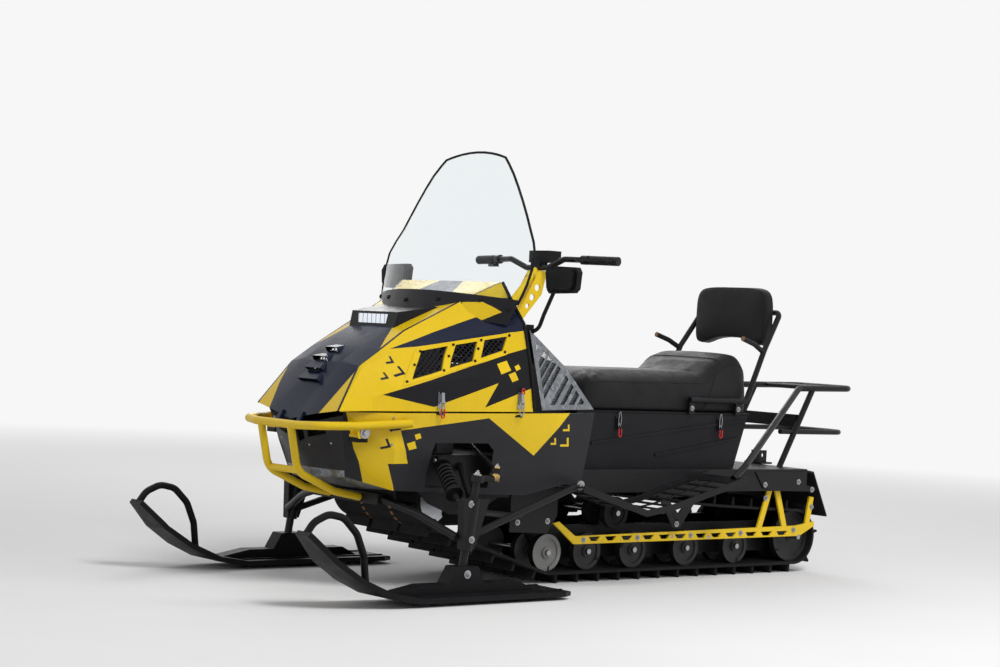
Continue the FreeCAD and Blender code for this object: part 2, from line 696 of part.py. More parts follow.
def corner_prism():
    """Front corner of the side, where its lines run together."""
    a = RIDGE[0]
    outer = [RIDGE[1], SHOULDER[1], BELT[1], SEAM[1]]
    inner = [tuple(p + q for p, q in zip(o, d)) for o, d in zip(outer, SIDE_DROP)]
    tip = (a[0] - 6, a[1] - 0.5, a[2] - 3)
    faces = []
    for k in range(3):
        faces.append([a, outer[k], outer[k + 1]])
        faces.append([tip, inner[k], inner[k + 1]])
        faces.append([outer[k], outer[k + 1], inner[k + 1]])
        faces.append([outer[k], inner[k + 1], inner[k]])
    for k in (0, 3):
        faces.append([a, outer[k], inner[k]])
        faces.append([a, inner[k], tip])
    made = [Part.Face(Part.makePolygon([V(*p) for p in f + [f[0]]])) for f in faces]
    solid = Part.Solid(Part.makeShell(made))
    if solid.Volume < 0:
        solid.reverse()
    return solid


# A bolted frame stands out round three windows, each with a grille behind it.
FRAME_T = 2.5
VENT_FRAME = [(52.0, 820.0), (-284.0, 896.0), (-261.0, 817.0), (121.0, 695.0)]
VENT_WINDOWS = [
    [(34.0, 816.0), (-58.0, 837.0), (-21.0, 753.0), (86.0, 718.0)],
    [(-84.0, 842.0), (-160.0, 858.0), (-135.0, 789.0), (-49.0, 762.0)],
    [(-184.0, 863.0), (-265.0, 880.0), (-250.0, 830.0), (-162.0, 801.0)],
]
GRILLE_OUTLINE = [(46.0, 812.0), (-278.0, 886.0), (-258.0, 822.0), (104.0, 706.0)]
GRILLE_T = 2.0
GRILLE_PITCH = 17.0
GRILLE_HOLE = 6.0


def inside(point, outline, margin):
    """True for a point at least the margin within an outline that runs round either way."""
    x, z = point
    sides = []
    for (x0, z0), (x1, z1) in zip(outline, outline[1:] + outline[:1]):
        sides.append(((x1 - x0) * (z - z0) - (z1 - z0) * (x - x0)) / math.hypot(x1 - x0, z1 - z0))
    return min(sides) > margin or max(sides) < -margin


def vent_band(step_in, thick):
    """Sheet along the side between the shoulder and the belt, a step in from its outer face."""
    rows = [moved(row[1:], (0, -step_in, 0)) for row in (SHOULDER, BELT)]
    return skin(rows, [(0, -thick, 0)] * 2)


def make_grille():
    """Thin plate with a staggered pattern of diamond holes behind each window."""
    rows = [moved(row[1:], step) for row, step in zip((SHOULDER, BELT), SIDE_DROP[1:3])]
    rows = [moved(row, (0, -SEAT_CLEAR - 0.1, 0)) for row in rows]
    plate = skin(rows, [(0, -GRILLE_T, 0)] * 2).common(prism(GRILLE_OUTLINE, "xz", 100, 600))
    holes = []
    for i in range(-20, 10):
        for j in range(-12, 14):
            x = (i + 0.5 * (j % 2)) * GRILLE_PITCH
            z = 800.0 + j * GRILLE_PITCH / 2
            if any(inside((x, z), outline, GRILLE_HOLE + 1) for outline in VENT_WINDOWS):
                r = GRILLE_HOLE
                holes.append(prism([(x - r, z), (x, z + r), (x + r, z), (x, z - r)], "xz", 100, 600))
    return plate.cut(Part.makeCompound(holes))


hood_side = make_hood_side().fuse(corner_prism())
vent_frame = vent_band(-FRAME_T, FRAME_T + 1).common(prism(VENT_FRAME, "xz", 100, 600))
hood_side = hood_side.fuse(vent_frame)
for outline in VENT_WINDOWS:
    hood_side = hood_side.cut(prism(outline, "xz", 100, 600))
grille = biggest(make_grille())
save("hood_sides", *both(biggest(hood_side)))

CENTRE = [
    # stations from the nose to the dash: middle, half way, ridge
    [(365.0, 0.0, 565.0), (354.0, 134.0, 590.0), (339.5, 240.0, 606.0)],
    [(256.0, 0.0, 766.0), (250.0, 110.0, 763.0), (235.5, 199.0, 755.0)],
    [(168.0, 0.0, 824.0), (163.0, 110.0, 821.0), (150.0, 199.0, 812.0)],
    [(56.0, 0.0, 889.0), (54.0, 105.0, 887.0), (45.0, 189.0, 880.0)],
    [(-152.0, 0.0, 988.0), (-154.0, 120.0, 990.0), (-165.0, 224.0, 992.0)],
    [(-300.0, 0.0, 1068.0), (-298.0, 150.0, 1067.0), (-292.0, 285.0, 1066.0)],
]


def make_hood_centre():
    return skin([full(r) for r in CENTRE],
                [(-PANEL_T - 1, 0, 0)] + [(-1, 0, -PANEL_T)] * 4 + [(0, 0, -PANEL_T)])


hood_centre = make_hood_centre()

# Raised louvres over slots up the middle of the hood: height of the mouth and half its width
LOUVRES = [(695.0, 62.0), (733.0, 52.0), (768.0, 46.0), (800.0, 40.0)]
LOUVRE_RISE = 15.0
LOUVRE_RUN = 36.0
LOUVRE_T = 2.5
LOUVRE_SINK = 7.0


def on_centre(z):
    """Point of the hood's middle line at a height, with the directions up the slope and out of it."""
    middle = [row[0] for row in CENTRE]
    for a, b in zip(middle[:-1], middle[1:]):
        if z < b[2]:
            break
    t = (z - a[2]) / (b[2] - a[2])
    length = math.hypot(b[0] - a[0], b[2] - a[2])
    up = ((b[0] - a[0]) / length, (b[2] - a[2]) / length)
    return a[0] + (b[0] - a[0]) * t, up, (up[1], -up[0])


def scoop(z, half, rise, run, sink, start=0.0):
    """Wedge with its tall end down the slope, narrower at the top and up the slope."""
    x, up, out = on_centre(z)

    def at(u, n, y):
        return (x + up[0] * u + out[0] * n, y, z + up[1] * u + out[1] * n)

    top = [[at(start, rise, -half + 6), at(start, rise, half - 6)],
           [at(run, 0.6, -half + 15), at(run, 0.6, half - 15)]]
    low = [[at(start, -sink, -half), at(start, -sink, half)],
           [at(run, -sink, -half + 10), at(run, -sink, half - 10)]]
    return shell(top, low)


for z, half in LOUVRES:
    cover = scoop(z, half, LOUVRE_RISE, LOUVRE_RUN, LOUVRE_SINK)
    throat = scoop(z, half - LOUVRE_T, LOUVRE_RISE - LOUVRE_T, LOUVRE_RUN - 6, LOUVRE_SINK + 5, -1.0)
    hood_centre = hood_centre.fuse(cover).cut(throat)
hood_centre = biggest(hood_centre)

# Lamp housing: a faceted wedge that runs out into the hood, with the lamp in its front
HOUSE_FRONT = (52.0, 127.0, 868.0, 34.0, 133.0, 943.0)
HOUSE_REAR = (-112.0, 165.0, 950.0, 969.5)
LAMP_HALF_W = 78.0
LAMP_Z = (902.0, 934.0)
LAMP_X = (31.0, 47.0)
x0, y0, z0, x1, y1, z1 = HOUSE_FRONT
x2, y2, z2, z3 = HOUSE_REAR
lamp_house = shell([[(x1, -y1, z1), (x1, y1, z1)], [(x2, -y2, z3), (x2, y2, z3)]],
                   [[(x0, -y0, z0), (x0, y0, z0)], [(x2, -y2, z2), (x2, y2, z2)]])
pocket_y = LAMP_HALF_W + SEAT_CLEAR
lamp_house = lamp_house.cut(box(LAMP_X[0] - SEAT_CLEAR, 90, -pocket_y, pocket_y,
                                LAMP_Z[0] - SEAT_CLEAR, LAMP_Z[1] + SEAT_CLEAR))
lamp_house = sorted(lamp_house.cut(hood_centre).Solids, key=lambda q: -q.BoundBox.ZMax)[0]
save("headlamp", box(LAMP_X[0], LAMP_X[1], -LAMP_HALF_W, LAMP_HALF_W, LAMP_Z[0], LAMP_Z[1]))


# Windshield: curved sheet on a foot strip
SHIELD = [
    # middle x, z; edge x, y, z from the foot to the top
    (-118.0, 1014.0, -282.0, 388.0, 990.0),
    (-165.0, 1085.0, -302.0, 410.0, 1062.0),
    (-215.0, 1190.0, -326.0, 414.0, 1165.0),
    (-255.0, 1280.0, -345.0, 362.0, 1252.0),
    (-300.0, 1375.0, -357.0, 300.0, 1352.0),
    (-345.0, 1465.0, -368.0, 228.0, 1452.0),
    (-385.0, 1536.0, -378.0, 168.0, 1512.0),
]
SHIELD_STEPS = [-1.0, -0.85, -0.7, -0.5, -0.25, 0.0, 0.25, 0.5, 0.7, 0.85, 1.0]


def shield_row(row, dx=0.0):
    xc, zc, xe, ye, ze = row
    ye = ye * BODY_HALF_W / TABLE_HALF_W
    return [(xc + (xe - xc) * s * s + dx, ye * s, zc + (ze - zc) * s * s) for s in SHIELD_STEPS]


def eased(rows, k):
    """Row halfway between two rows of a table, on the smooth curve through their neighbours."""
    a, b = rows[max(k - 1, 0)], rows[k]
    c, d = rows[k + 1], rows[min(k + 2, len(rows) - 1)]
    return [(9 * (q + r) - p - t) / 16 for p, q, r, t in zip(a, b, c, d)]


shield_rows = []
for k, row in enumerate(SHIELD[:-1]):
    shield_rows += [shield_row(row), shield_row(eased(SHIELD, k))]
shield_rows.append(shield_row(SHIELD[-1]))
windshield = skin(shield_rows, [(-SHIELD_T, 0, -1)] * len(shield_rows))
save("windshield", windshield)
foot_rows = []
for t in (0.2, -0.4, -1.0):
    low = [a + (b - a) * t for a, b in zip(SHIELD[0], SHIELD[1])]
    foot_rows.append(shield_row(low, SEAT_CLEAR))
foot = skin(foot_rows, [(5.0, 0, 1)] * 3)
foot = biggest(foot.cut(hood_centre).cut(hood_side).cut(mirror(hood_side)).cut(windshield).cut(lamp_house))
save("hood_trim", lamp_house, foot, *both(grille))

# Toggle latches on the hood's sides: base, body, lever and the wire bail that reaches below the seam
LATCH_X = (-15.0, -315.0)
BAIL_R = 2.2
latches = []
for x in LATCH_X:
    _, y, z = at_x(SEAM, x)
    base = box(x - 12, x + 12, y - 10, y + 3, z + 10, z + 66).cut(hood_side)
    base = sorted(base.Solids, key=lambda q: q.CenterOfMass.y)[-1]
    bail_y = y + 12
    latch = fuse([
        base,
        box(x - 8, x + 8, y + 1, y + 9, z + 24, z + 60),
        prism([(y + 8, z + 26), (y + 17, z + 30), (y + 13, z + 64), (y + 8, z + 64)], "yz", x - 6, x + 6),
        cyl((x - 10, bail_y, z + 32), (x + 10, bail_y, z + 32), 3.5),
        tube([(x - 9, bail_y, z + 32), (x - 9, bail_y, z - 4), (x, bail_y, z - 18), (x + 9, bail_y, z - 4),
              (x + 9, bail_y, z + 32)], BAIL_R, 8.0),
    ])
    latches += both(biggest(latch.cut(hood_side)))
save("hood_latches", *latches)

# Hood hinges at the nose: knuckles on the hood, pins on the nose panel
HINGE_Y = 60.0
HINGE_R = 9.0
HINGE_PIN_R = 5.0
hx, hz = HOOD_AXIS
knuckle = cyl((hx, HINGE_Y - 10, hz), (hx, HINGE_Y + 10, hz), HINGE_R)
tab = prism([(hx - 8, hz), (hx + 8, hz), (hx - 10, hz + 41), (hx - 18, hz + 41)], "xz",
            HINGE_Y - 10, HINGE_Y + 10)
knuckle = knuckle.fuse(tab).cut(across(hx, hz, 2 * HINGE_Y, HINGE_PIN_R + SEAT_CLEAR))
save("hood_centre", biggest(hood_centre.multiFuse(both(knuckle))))
pins = [cyl((hx, HINGE_Y - 24, hz), (hx, HINGE_Y + 24, hz), HINGE_PIN_R)]
for y in (HINGE_Y - 24, HINGE_Y + 16):
    pins.append(box(hx - 30, hx + 7, y, y + 8, hz - 5, hz + 5))
pins = biggest(fuse(pins).cut(nose))
save("nose_panel", nose, *both(pins))

# Deflectors behind the hood: two flat triangles a side that share a folded edge, with slots along it
DEFLECT_FOLD = wide([(-519.0, 389.0, 783.0), (-404.0, 408.0, 631.0)])
DEFLECT_TIPS = wide([(-352.0, 379.0, 908.0), (-644.0, 412.0, 638.0)])
DEFLECT_T = 3.0
SLOT_INSET = 18.0
DEFLECT_SLOTS = [
    # shares of the way from the fold to the panel's tip
    [(0.065, 0.152), (0.192, 0.286), (0.316, 0.414), (0.444, 0.535), (0.664, 0.766)],
    [(0.095, 0.19), (0.285, 0.37), (0.449, 0.56), (0.623, 0.726)],
]


def plate_with_slots(tip, shares):
    a, b = DEFLECT_FOLD
    pts = [V(*p) for p in (a, b, tip)]
    plate = Part.Face(Part.makePolygon(pts + [pts[0]])).extrude(V(0, -DEFLECT_T, 0))
    fold = (V(*b) - V(*a)).normalize()
    holes = []
    for low, high in shares:
        ends = []
        for t in (low, high):
            row = []
            for corner, way in ((a, fold), (b, fold * -1)):
                edge = (V(*tip) - V(*corner)).normalize()
                lean = math.sqrt(1 - edge.dot(way) ** 2)
                row.append(V(*lerp(corner, tip, t)) + way * (SLOT_INSET / lean))
            ends.append(row)
        outline = [(p.x, p.z) for p in (ends[0][0], ends[0][1], ends[1][1], ends[1][0])]
        holes.append(prism(outline, "xz", 300, 600))
    return plate.cut(Part.makeCompound(holes))


deflector = fuse([plate_with_slots(tip, shares) for tip, shares in zip(DEFLECT_TIPS, DEFLECT_SLOTS)])
save("deflectors", *both(deflector))

# Dash panel, open at the column and the tie rods, and console between the hood and the seat
SLOT_HALF_W = 85.0
dash = fuse([
    prism([(-334, 600), (-318, 1050), (-326, 1052), (-344, 600)], "xz", -278, 278),
    box(-354, -334, -278, 278, 560, 604),
    box(-354, -334, -270, -250, HUMP_TOP + SEAT_CLEAR, 566),
    box(-354, -334, 250, 270, HUMP_TOP + SEAT_CLEAR, 566),
])
dash = dash.cut(box(-400, -300, -SLOT_HALF_W, SLOT_HALF_W, 500, 800))
console = prism([(-530, 440), (-530, 800), (-560, 830), (-734.7, 770), (-734.7, TUNNEL_TOP + SEAT_CLEAR),
                 (-641, TUNNEL_TOP + SEAT_CLEAR)], "xz", -165, 165)
console = console.cut(tunnel)
save("console", console.Solids[0])


# Mirrors on stalks behind the windshield
def make_mirror():
    shape = [(400, 1048), (412, 1036), (534, 1040), (550, 1054),
             (556, 1112), (544, 1128), (404, 1132), (390, 1118)]
    head = prism(shape, "yz", -424, -402)
    brim = [(472 + (y - 472) * 0.86, 1084 + (z - 1084) * 0.8) for y, z in shape]
    head = head.fuse(prism(brim, "yz", -402, -390))
    stalk = tube([(-322, 262, 880), (-374, 398, 905), (-384, 412, 960), (-410, 440, 1060)], 7.0, 40.0)
    return biggest(fuse([head, stalk]).cut(dash).cut(deflector))


save("mirrors", *both(make_mirror()))


# Seat box, hollow and open at the top, with pressed ribs and two latches on the left
BOX_RAKE = 68.0            # of its rear wall
RIB_W = 10.0
RIB_H = 5.0
BOX_RIBS = [
    [(-812.0, 512.0), (-1175.0, 556.0), (-1612.0, 604.0)],
    [(-1141.0, 469.0), (-1590.0, 536.0)],
]
BOX_LATCH_X = (-942.0, -1478.0)


def make_seat_box():
    rim = LIP_Z - LID_T - SEAT_CLEAR
    low = TUNNEL_TOP + SEAT_CLEAR
    outer = prism([(BOX_FRONT_X, low), (BOX_FRONT_X, rim), (BOX_REAR_X, rim), (BOX_REAR_X + BOX_RAKE, low)],
                  "xz", -SEAT_HALF_W, SEAT_HALF_W)
    floor = TUNNEL_TOP + BOX_T
    inner = prism([(BOX_FRONT_X - BOX_T, floor), (BOX_FRONT_X - BOX_T, LIP_Z),
                   (BOX_REAR_X + BOX_T + 4, LIP_Z), (BOX_REAR_X + BOX_RAKE + BOX_T, floor)], "xz",
                  -SEAT_HALF_W + BOX_T, SEAT_HALF_W - BOX_T)
    body = outer.cut(inner)
    for path in BOX_RIBS:
        rib = prism(strip(path, RIB_W), "xz", SEAT_HALF_W - 1, SEAT_HALF_W + RIB_H)
        body = body.multiFuse(both(rib))
    for x in BOX_LATCH_X:
        y = SEAT_HALF_W
        keeper = box(x - 12, x + 12, y - 1, y + 3, LIP_Z - 74, LIP_Z - 22)
        lever = prism([(y + 2, LIP_Z - 70), (y + 11, LIP_Z - 66), (y + 9, LIP_Z - 28), (y + 2, LIP_Z - 28)],
                      "yz", x - 7, x + 7)
        body = body.multiFuse([keeper, lever])
    return body


# Seat lid with the cushion on it
LID_AXIS = (-SEAT_HALF_W - 10.0, LIP_Z - 12.0)
lid = [box(SEAT_REAR_X + 6, BOX_FRONT_X, -SEAT_HALF_W - 3, SEAT_HALF_W + 3, LIP_Z - LID_T, LIP_Z)]
ly, lz = LID_AXIS
hinge_pins = []
for x in (-850.0, -1190.0, -1530.0):
    lid.append(cyl((x - 20, ly, lz), (x + 20, ly, lz), 6.5))
    lid.append(box(x - 20, x + 20, ly - 4, ly + 9, lz + 1, LIP_Z - 1))
    pin = fuse([cyl((x - 34, ly, lz), (x + 34, ly, lz), 3.5),
                box(x - 34, x - 22, ly - 3, -SEAT_HALF_W - SEAT_CLEAR, lz - 16, lz + 3),
                box(x + 22, x + 34, ly - 3, -SEAT_HALF_W - SEAT_CLEAR, lz - 16, lz + 3)])
    hinge_pins.append(pin)
lid = fuse(lid).cut(cyl((-1700, ly, lz), (-700, ly, lz), 3.8))
save("seat_lid", lid)
save("seat_box", make_seat_box(), *hinge_pins)
on_lid = LIP_Z + SEAT_CLEAR
cushion_side = [(SEAT_FRONT_X, on_lid), (SEAT_FRONT_X - 12, 745.0), (SEAT_FRONT_X - 70, 772.0),
                (-1395.0, 776.0), (-1450.0, 820.0), (-1520.0, 856.0), (-1585.0, 862.0), (-1640.0, 800.0),
                (SEAT_REAR_X, on_lid)]
cushion = prism(cushion_side, "xz", -SEAT_HALF_W, SEAT_HALF_W)
save("seat_cushion", cushion)

# Backrest tubes, cross bar, grab handles and pad
REST_Y = SEAT_HALF_W + 14.0
BAR_X, BAR_Z = -1806.0, 1030.0
REST_R = 11.0
rest_side = [(-1300, REST_Y, LIP_Z + 48), (-1610, REST_Y, LIP_Z + 48), (-1704, REST_Y - 4, 880),
             (BAR_X, REST_Y - 23, BAR_Z)]
rest = tube(rest_side + [(x, -y, z) for x, y, z in rest_side[::-1]], REST_R, 28.0)
feet = []
for x in (-1315.0, -1570.0):
    feet += both(box(x - 14, x + 14, SEAT_HALF_W + 3 + SEAT_CLEAR, REST_Y, LIP_Z - 6, LIP_Z + 48))
    feet += both(box(x - 14, x + 14, SEAT_HALF_W + SEAT_CLEAR, REST_Y, LIP_Z + SEAT_CLEAR, LIP_Z + 12))
grab = tube([(-1700, REST_Y - 4, 870), (-1640, REST_Y + 2, 900), (-1570, REST_Y + 4, 920)], 10.0, 60.0)
backrest = rest.multiFuse(feet + both(grab))
save("backrest_frame", backrest)
pad_x = BAR_X + REST_R + 2 * SEAT_CLEAR
pad = prism([(-150, 1128), (150, 1128), (195, 1092), (195, 905), (165, 890), (60, 925), (-60, 925),
             (-165, 890), (-195, 905), (-195, 1092)], "yz", pad_x, pad_x + 60)
save("backrest_pad", pad)

# Rear rack
side = [(-1338, 448, 394), (-1420, 430, 440), (-2000, 160, 732), (-2338, 160, 738)]
hoop = side + [(x, -y, z) for x, y, z in side[::-1]]
shelf = [(-1905, 155, 556), (-2300, 155, 556), (-2300, -155, 556), (-1905, -155, 556)]
rack = [tube(hoop, RACK_R, 60.0), tube(shelf, RACK_R - 2, 60.0)]
for y in (-160.0, 160.0):
    rack.append(cyl((-2085, y, 733), (-1905, y, 410), RACK_R - 0.5))
rack.append(cyl((-2150, -160, 735), (-2150, 160, 735), RACK_R - 3))
rack.append(cyl((-2245, -160, 736), (-2245, 160, 736), RACK_R - 3))
rack = rack[0].multiFuse(rack[1:])
rack = biggest(rack.cut(tunnel).cut(board).cut(mirror(board)).cut(box(-1950, -1850, -200, 200, 380, 415)))
save("rear_rack", rack)
save("tail_lamp", biggest(box(-2018, -1998, -150, 150, 575, 625).cut(rack)))

# Tow hitch with two ears and a pin hole
hitch = fuse([box(-1990, -1920, -45, 45, TUNNEL_TOP + SEAT_CLEAR, TUNNEL_TOP + 8),
              box(-1980, -1935, -22, -14, TUNNEL_TOP, 470), box(-1980, -1935, 14, 22, TUNNEL_TOP, 470)])
hitch = hitch.cut(cyl((-1958, -60, 450), (-1958, 60, 450), HITCH_HOLE_R))
save("tow_hitch", hitch)


# Front suspension, fixed: arms, shocks and spindle housings
def kingpin(z, y=KINGPIN_Y):
    t = math.tan(math.radians(KINGPIN_RAKE))
    return (-(z - PIVOT_Z) * t, y, z)


PIN_R = 14.0
HOUSING_LOW = 168.0
HOUSING_TOP = 340.0


def make_housing():
    p0, p1 = kingpin(HOUSING_LOW), kingpin(HOUSING_TOP)
    core = cyl(p0, p1, 23.0)
    web = prism([(p0[0] + 22, p0[2] + 4), (p0[0] - 26, p0[2] + 4), (p1[0] - 58, p1[2] - 2),
                 (p1[0] + 52, p1[2] - 2)], "xz", KINGPIN_Y - 16, KINGPIN_Y + 16)
    return core.fuse(web).cut(cyl(kingpin(100), kingpin(420), PIN_R + SEAT_CLEAR))


housing = make_housing()
save("spindle_housings", *both(housing))

ARM_END_Y = KINGPIN_Y - 18.0
arms = [
    tube([(98, 190.3, 306), (66, 330, 276), (16, ARM_END_Y, 210)], 13.0, 400.0),
    cyl((-16, ARM_END_Y, 205), (-556, BOARD_OUT_Y - 40, 374), 12.0),
    cyl((-40, ARM_END_Y, 296), (-430, BESIDE + 5.9, 250), 11.0),
    cyl((-150, BESIDE, 430), (-44, ARM_END_Y, 316), 11.0),
]
control = []
for a in arms:
    control.append(biggest(a.cut(housing).cut(board).cut(drive_box).cut(front_frame).cut(tunnel)))
save("control_arms", *control, *[mirror(c) for c in control])

SHOCK_TOP = (-50.0, BESIDE + 14, 448.0)
SHOCK_LOW = (4.0, KINGPIN_Y - 40.0, 330.0)
SHOCK_BODY_R = 16.0
SPRING_SEAT_R = 30.0
COIL_R = 24.0
COIL_WIRE_R = 5.0
COIL_TURNS = 7
COIL_STEPS = 14            # straight runs in each turn of the spring


def on_front_shock(t):
    return lerp(SHOCK_TOP, SHOCK_LOW, t)


def make_coil(start, end):
    """Spring round the line between its two seats, 0.3 mm clear of them, in short straight runs."""
    axis = V(*end) - V(*start)
    length = axis.Length
    axis.normalize()
    u = axis.cross(V(0, 0, 1)).normalize()
    v = axis.cross(u)
    margin = COIL_WIRE_R + SEAT_CLEAR + 0.4
    points = []
    for k in range(COIL_TURNS * COIL_STEPS + 1):
        a = 2 * math.pi * k / COIL_STEPS
        rise = margin + (length - 2 * margin) * k / (COIL_TURNS * COIL_STEPS)
        p = V(*start) + axis * rise + u * (COIL_R * math.cos(a)) + v * (COIL_R * math.sin(a))
        points.append((p.x, p.y, p.z))
    return rod(points, COIL_WIRE_R)


pieces = [
    cyl(SHOCK_TOP, SHOCK_LOW, 11.0),
    cyl(on_front_shock(0.12), on_front_shock(0.86), SHOCK_BODY_R),
    cyl(on_front_shock(0.12), on_front_shock(0.16), SPRING_SEAT_R),
    cyl(on_front_shock(0.82), on_front_shock(0.86), SPRING_SEAT_R),
    cyl((-64, SHOCK_TOP[1], SHOCK_TOP[2]), (-36, SHOCK_TOP[1], SHOCK_TOP[2]), 14.0),
    cyl(SHOCK_LOW, (-4, ARM_END_Y, 322.0), 10.0),
]
shock = biggest(fuse(pieces).cut(housing))
coil = make_coil(on_front_shock(0.16), on_front_shock(0.82))
save("shocks", *both(shock), *both(coil), track_shock)


# Steered pieces: spindle with its arm, ski, tie rod
KING = (-math.sin(math.radians(KINGPIN_RAKE)), 0.0, math.cos(math.radians(KINGPIN_RAKE)))


def shift(p, d):
    """Point moved by d along the kingpins' direction."""
    return (p[0] + KING[0] * d, p[1] + KING[1] * d, p[2] + KING[2] * d)


def pitman_axis(z):
    return (PITMAN_X + (z - PITMAN_Z) * KING[0] / KING[2], 0.0, z)


def make_spindle():
    top = kingpin(ARM_Z)
    end = (top[0] - ARM_LEN, KINGPIN_Y, ARM_Z)
    return fuse([
        cyl(kingpin(112), shift(top, 13), PIN_R),
        cyl(shift(top, -12), shift(top, 10), 24.0),
        cyl(top, end, 11.0),
        cyl(shift(end, -12), shift(end, 12), 15.0),
        cyl(shift(end, 0), shift(end, 40), BALL_R),
    ])


spindle = make_spindle()
save("spindle_left", spindle)
save("spindle_right", mirror(spindle))


def make_ski():
    top = [(-425.0, 26.0), (-400.0, 30.0), (230.0, 30.0), (340.0, 48.0), (450.0, 96.0), (545.0, 158.0),
           (636.0, 244.0)]
    low = [(-425.0, 12.0), (235.0, 12.0), (348.0, 31.0), (458.0, 80.0), (556.0, 144.0), (648.0, 232.0)]
    blade = prism(top + low[::-1], "xz", KINGPIN_Y - SKI_HALF_W, KINGPIN_Y + SKI_HALF_W)
    plan = prism([(-430, KINGPIN_Y - 70), (-380, KINGPIN_Y - SKI_HALF_W), (330, KINGPIN_Y - SKI_HALF_W),
                  (560, KINGPIN_Y - 66), (660, KINGPIN_Y - 30), (660, KINGPIN_Y + 30), (560, KINGPIN_Y + 66),
                  (330, KINGPIN_Y + SKI_HALF_W), (-380, KINGPIN_Y + SKI_HALF_W), (-430, KINGPIN_Y + 70)],
                 "xy", -5, 400)
    blade = blade.common(plan)
    keel = prism([(-380, 0), (190, 0), (300, 20), (300, 30), (-400, 26), (-400, 8)], "xz",
                 KINGPIN_Y - 14, KINGPIN_Y + 14)
    spine = prism([(-300, 28), (-230, 62), (180, 62), (300, 40), (300, 28)], "xz",
                  KINGPIN_Y - 30, KINGPIN_Y + 30)
    saddle = prism([(-80, 58), (-45, 118), (45, 118), (80, 58)], "xz", KINGPIN_Y - 30, KINGPIN_Y + 30)
    loop = tube([(630, KINGPIN_Y, 236), (604, KINGPIN_Y, 272), (548, KINGPIN_Y, 296), (490, KINGPIN_Y, 284),
                 (436, KINGPIN_Y, 232), (404, KINGPIN_Y, 160), (392, KINGPIN_Y, 76)], 12.0, 60.0)
    ribs = []
    for y in (KINGPIN_Y - 0.64 * SKI_HALF_W, KINGPIN_Y + 0.64 * SKI_HALF_W):
        ribs.append(box(-390, 228, y - 4, y + 4, 26, 35))
    return fuse([blade, keel, spine, saddle, loop] + ribs)


ski = make_ski()
ski = ski.cut(cyl(kingpin(111.7), kingpin(200), PIN_R + SEAT_CLEAR))
save("ski_left", ski)
save("ski_right", mirror(ski))


def make_tie_rod(side, z_inner):
    king = kingpin(ARM_Z, side * KINGPIN_Y)
    out = shift((king[0] - ARM_LEN, king[1], king[2]), 25)
    axis = pitman_axis(z_inner)
    inner = (axis[0] - ARM_LEN, 0.0, axis[2])
    bar = cyl(lerp(out, inner, 0.02), lerp(out, inner, 0.975), ROD_R)
    eyes = [cyl(shift(p, -9), shift(p, 9), 19.0) for p in (out, inner)]
    made = fuse([bar] + eyes)
    for p in (out, inner):
        made = made.cut(cyl(shift(p, -60), shift(p, 60), BALL_R + ROD_CLEAR))
    return biggest(made)


save("tie_rod_left", make_tie_rod(1, PITMAN_Z))
save("tie_rod_right", make_tie_rod(-1, PITMAN_Z + EYE_STEP))

# Pitman arm on its short shaft, with a universal joint to the column
low = pitman_axis(PITMAN_Z - 22)
pin_low = (low[0] - ARM_LEN, 0.0, low[2])
shaft_top = pitman_axis(COLUMN_LOW[1] - 20)
pitman = fuse([
    cyl(shift(low, -9), shaft_top, 12.0),
    cyl(shift(low, -9), shift(low, 9), 20.0),
    cyl(low, pin_low, 9.0),
    cyl(shift(pin_low, -9), shift(pin_low, 72), BALL_R),
    cyl(shaft_top, pitman_axis(COLUMN_LOW[1] - 14), 18.0),
    ball((COLUMN_LOW[0], 0, COLUMN_LOW[1] - 4), 12.0),
])
save("pitman_arm", pitman)

support_z = PITMAN_Z + 10
support = fuse([
    cyl(pitman_axis(support_z - 10), pitman_axis(support_z + 8), 34.0),
    box(PITMAN_X + 29, PITMAN_X + 39, -32, 32, HUMP_TOP + SEAT_CLEAR, support_z + 6),
])
support = support.cut(cyl(pitman_axis(support_z - 60), pitman_axis(support_z + 60), 12.0 + ROD_CLEAR))
save("front_frame", front_frame, support)

# Column with its riser, carried by a collar on the dash
run = math.dist(COLUMN_TOP, COLUMN_LOW)
UX, UZ = (COLUMN_TOP[0] - COLUMN_LOW[0]) / run, (COLUMN_TOP[1] - COLUMN_LOW[1]) / run


def on_column(d):
    """Point on the column's axis, d above its lower joint."""
    return (COLUMN_LOW[0] + UX * d, 0.0, COLUMN_LOW[1] + UZ * d)


column = fuse([cyl(on_column(20), on_column(run), COLUMN_R), cyl(on_column(18), on_column(30), 18.0)])
RISER_Y = 34.0
RISER_T = 5.0
cheek = prism([(-540, 905), (-585, 955), (-684, 1128), (-722, 1128), (-700, 1040), (-610, 940)], "xz",
              RISER_Y - RISER_T, RISER_Y)
for x, z, r in ((-633, 995, 9.0), (-654, 1028, 12.0), (-677, 1065, 12.0)):
    cheek = cheek.cut(across(x, z, 2 * RISER_Y, r))
riser = both(cheek) + [across(-600, 965, RISER_Y - 4, 20.0), across(-690, 1105, RISER_Y - 4, 20.0)]
column = fuse([column] + riser)
save("steering_column", column)

collar = cyl(on_column(170), on_column(200), 26.0)
c = on_column(185)
collar = fuse([collar, box(c[0], -337, -SLOT_HALF_W - 20, SLOT_HALF_W + 20, c[2] - 12, c[2] + 12)])
collar = collar.cut(cyl(on_column(100), on_column(300), COLUMN_R + ROD_CLEAR))
collar = collar.cut(box(-337, -200, -120, 120, 600, 1000)).cut(dash)
save("dash_panel", dash, biggest(collar))

